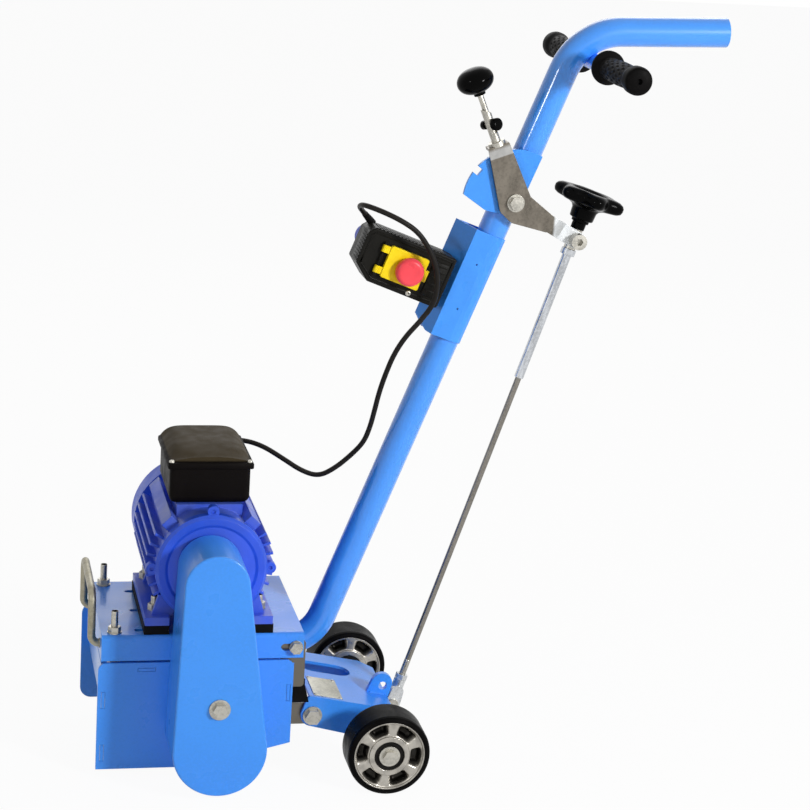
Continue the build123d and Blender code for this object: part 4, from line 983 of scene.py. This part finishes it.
# Smooth lobed hand wheel on the depth rod, in millimetres: rows are distance, radius and share of the swell
WHEEL_LOBES = 6
WHEEL_SWELL = 7.0
WHEEL_ROWS = [
    (15.6, 10.8, 0), (25.5, 11, 0), (26.5, 13.6, 0), (30.5, 14, 0), (31.5, 17.6, 0), (33, 18.8, 0),
    (46, 19.8, 0), (50, 22.5, 0), (53, 29, 0.1), (54.5, 37, 0.45), (56, 43.5, 0.85), (59, 48, 1),
    (63.5, 49.8, 1), (68.5, 49.8, 1), (72.5, 47.5, 0.95), (75.4, 43.3, 0.7), (76.5, 37, 0.3),
    (75.6, 31, 0.05), (73, 28, 0), (70.5, 25.5, 0), (70, 18, 0), (70, 0.2, 0),
]


def lobed_wheel(segments=96):
    """A turned shape whose rim swells into lobes."""
    turn = ROD_WAY.to_track_quat("Z", "Y").to_matrix()
    points = []
    for distance, radius, share in WHEEL_ROWS:
        for angle in around(segments):
            reach = radius + share * WHEEL_SWELL * math.cos(WHEEL_LOBES * angle)
            spot = Vector((reach * math.cos(angle), reach * math.sin(angle), distance)) * MM
            points.append(tuple(TRUNNION + turn @ spot))
    return points, capped(len(WHEEL_ROWS), segments)


wheel_finish = MATERIALS["gloss_black"]
wheel = piece("smooth_hand_wheel", lobed_wheel(), wheel_finish, "depth_wheel", crease=55)
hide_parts("hand_wheel")


# Terminal lid, in millimetres: a bevelled slab under a crown that rises towards the back
LID_X = -294
LID_HALF_WIDTH = 65
LID_NEAR = -61
LID_FAR = 92
LID_LOW = 474
LID_TOP = 484
LID_BEVEL = 2.5
CROWN_HALF_WIDTH = 62
CROWN_NEAR = -55
CROWN_FAR = 90
CROWN_HEIGHT = 16
CROWN_SUNK = 2
CROWN_FRONT_SHARE = 0.50
CROWN_RISE_LENGTH = 70
CROWN_FRONT_POWER = 2.4
CROWN_MORE_POWER = 3.6
CROWN_POWER_START = -50
CROWN_POWER_LENGTH = 30


def crown_height(x, y):
    """Height of the lid's crown over the slab: round at the front, flatter and higher behind."""
    risen = min(1.0, (y - CROWN_NEAR) / CROWN_RISE_LENGTH)
    rise = CROWN_FRONT_SHARE + (1 - CROWN_FRONT_SHARE) * math.sin(math.pi / 2 * risen)
    flattened = min(1.0, max(0.0, (y - CROWN_POWER_START) / CROWN_POWER_LENGTH))
    power = CROWN_FRONT_POWER + CROWN_MORE_POWER * flattened
    return CROWN_HEIGHT * max(0.0, 1 - (abs(x) / CROWN_HALF_WIDTH) ** power) * rise


def crown(steps=32):
    """The crown's surface with short walls down into the slab and a flat underside."""
    points, faces = [], []
    for i in range(steps + 1):
        y = CROWN_NEAR + (CROWN_FAR - CROWN_NEAR) * i / steps
        for j in range(steps + 1):
            x = CROWN_HALF_WIDTH * (2 * j / steps - 1)
            points.append(level(LID_X + x, y, LID_TOP + crown_height(x, y)))
    row = steps + 1
    for i in range(steps):
        for j in range(steps):
            near = i * row + j
            far = near + row
            faces.append((near, near + 1, far + 1, far))
    border = list(range(row))
    border += [i * row + steps for i in range(1, row)]
    border += [steps * row + j for j in range(steps - 1, -1, -1)]
    border += [i * row for i in range(steps - 1, 0, -1)]
    first = len(points)
    points += [(points[b][0], points[b][1], (LID_TOP - CROWN_SUNK) * MM) for b in border]
    for k, here in enumerate(border):
        after = (k + 1) % len(border)
        faces.append((here, border[after], first + after, first + k))
    faces.append(tuple(range(first, first + len(border))))
    return points, faces


lid_outline = bar(LID_X - LID_HALF_WIDTH, LID_X + LID_HALF_WIDTH, LID_NEAR, LID_FAR)
lid_shapes = joined([chunk(lid_outline, LID_LOW, LID_TOP, LID_BEVEL, level), crown()])
lid = piece("crowned_lid", lid_shapes, FINISHES["terminal_lid"], "frame", crease=28)
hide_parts("terminal_lid")


# Blank data plate on the wheel frame's top, with a rivet in each corner
PLATE_SPAN = (-0.124, -0.078, -0.090, -0.014)
PLATE_THICKNESS = 0.0012
PLATE_BEVEL = 0.0004
RIVET_RADIUS = 0.0026
RIVET_HEIGHT = 0.0014
RIVET_FOOT = 0.001
RIVET_PLACES = [(x, y) for x in (-0.1205, -0.0815) for y in (-0.0865, -0.0175)]
RIVET_WAY = (0.189, 0, 1)


def blank_plate():
    """A thin plate with bevelled edges."""
    x0, x1, y0, y1 = PLATE_SPAN
    inner = bar(x0 + PLATE_BEVEL, x1 - PLATE_BEVEL, y0 + PLATE_BEVEL, y1 - PLATE_BEVEL)
    outer = bar(*PLATE_SPAN)
    rows = [(outer, 0.0), (outer, PLATE_THICKNESS - PLATE_BEVEL), (inner, PLATE_THICKNESS)]
    points = [frame_top(x, y, above) for outline, above in rows for x, y in outline]
    return points, capped(len(rows), len(outer))


plate_finish = bright_steel("plate_alloy", PLATE_GREY, roughness=0.42)
piece("blank_plate", blank_plate(), plate_finish, "wheel_frame")
rivet_feet = [frame_top(x, y, RIVET_FOOT) for x, y in RIVET_PLACES]
rivets = [screw_head(place, RIVET_WAY, RIVET_RADIUS, RIVET_HEIGHT) for place in rivet_feet]
piece("plate_rivets", joined(rivets), MATERIALS["zinc_steel"], "wheel_frame")


# Stage: camera, lamps, white surroundings and floor; a lamp has a place, a target, a size and a power
LAMPS = {
    "key": ((2.15, -2.9, 1.8), (0, 0, 0.5), 0.55, 104),
    "fill": ((-2.8, -2.2, 2.1), (0, 0, 0.5), 0.3, 16),
    "back": ((0.6, 3.0, 2.6), (0, 0, 0.6), 2.4, 26),
}
WORLD_STRENGTH = 0.19
FLOOR_HALF_SIZE = 14
FLOOR_ROUGHNESS = 0.9
FLOOR_WHITE_SHARE = 0.95


def camera_matrix():
    """The camera's place and turn, from its azimuth, elevation and roll."""
    azimuth, elevation, roll = (math.radians(v) for v in (CAMERA_AZIMUTH, CAMERA_ELEVATION, CAMERA_ROLL))
    back = Vector((math.sin(azimuth) * math.cos(elevation), -math.cos(azimuth) * math.cos(elevation),
                   math.sin(elevation)))
    right = Vector((math.cos(azimuth), math.sin(azimuth), 0))
    up = back.cross(right)
    rolled_right = math.cos(roll) * right + math.sin(roll) * up
    rolled_up = math.cos(roll) * up - math.sin(roll) * right
    turn = Matrix((rolled_right, rolled_up, back)).transposed().to_4x4()
    return Matrix.Translation(CAMERA_AT) @ turn


camera_data = bpy.data.cameras.new("photo_camera")
camera_data.sensor_width = SENSOR
camera_data.sensor_fit = "HORIZONTAL"
camera_data.lens = FOCAL_PIXELS / IMAGE_SIZE * SENSOR
camera_data.clip_end = CAMERA_REACH
camera = bpy.data.objects.new("photo_camera", camera_data)
camera.matrix_world = camera_matrix()
bpy.context.scene.collection.objects.link(camera)
bpy.context.scene.camera = camera


def area_light(name, place, target, size, power):
    """A soft square lamp pointed at a target."""
    data = bpy.data.lights.new(name, "AREA")
    data.size = size
    data.energy = power
    lamp = bpy.data.objects.new(name, data)
    lamp.location = place
    lamp.rotation_euler = (Vector(target) - Vector(place)).to_track_quat("-Z", "Y").to_euler()
    bpy.context.scene.collection.objects.link(lamp)


for lamp_name, settings in LAMPS.items():
    area_light(lamp_name, *settings)


def camera_white(tree, plain, white_kind, share=1.0):
    """A shader that camera, glossy and transmission rays see, by a share, as plain white."""
    path = tree.nodes.new("ShaderNodeLightPath")
    seen = path.outputs["Is Camera Ray"]
    for ray in ("Is Glossy Ray", "Is Transmission Ray"):
        either = tree.nodes.new("ShaderNodeMath")
        either.operation = "MAXIMUM"
        tree.links.new(seen, either.inputs[0])
        tree.links.new(path.outputs[ray], either.inputs[1])
        seen = either.outputs["Value"]
    scaled = tree.nodes.new("ShaderNodeMath")
    scaled.operation = "MULTIPLY"
    scaled.inputs[1].default_value = share
    tree.links.new(seen, scaled.inputs[0])
    white = tree.nodes.new(white_kind)
    white.inputs["Color"].default_value = WHITE
    white.inputs["Strength"].default_value = 1.0
    mix = tree.nodes.new("ShaderNodeMixShader")
    tree.links.new(scaled.outputs["Value"], mix.inputs["Fac"])
    tree.links.new(plain, mix.inputs[1])
    tree.links.new(white.outputs[0], mix.inputs[2])
    return mix.outputs["Shader"]


world = bpy.data.worlds.new("studio")
world.use_nodes = True
bpy.context.scene.world = world
world_tree = world.node_tree
background = world_tree.nodes["Background"]
background.inputs["Color"].default_value = WHITE
background.inputs["Strength"].default_value = WORLD_STRENGTH
world_shader = camera_white(world_tree, background.outputs[0], "ShaderNodeBackground")
world_tree.links.new(world_shader, world_tree.nodes["World Output"].inputs["Surface"])

floor_mesh = bpy.data.meshes.new("floor")
floor_build = bmesh.new()
bmesh.ops.create_grid(floor_build, x_segments=1, y_segments=1, size=FLOOR_HALF_SIZE)
floor_build.to_mesh(floor_mesh)
floor_build.free()
floor = bpy.data.objects.new("floor", floor_mesh)
bpy.context.scene.collection.objects.link(floor)
floor_material = bpy.data.materials.new("floor")
floor_material.use_nodes = True
floor_tree = floor_material.node_tree
floor_plain = floor_tree.nodes["Principled BSDF"]
floor_plain.inputs["Base Color"].default_value = FLOOR_GREY
floor_plain.inputs["Roughness"].default_value = FLOOR_ROUGHNESS
floor_shader = camera_white(floor_tree, floor_plain.outputs[0], "ShaderNodeEmission", FLOOR_WHITE_SHARE)
floor_tree.links.new(floor_shader, floor_tree.nodes["Material Output"].inputs["Surface"])
floor_mesh.materials.append(floor_material)

bpy.context.scene.view_settings.view_transform = "Standard"


bpy.context.view_layer.update()
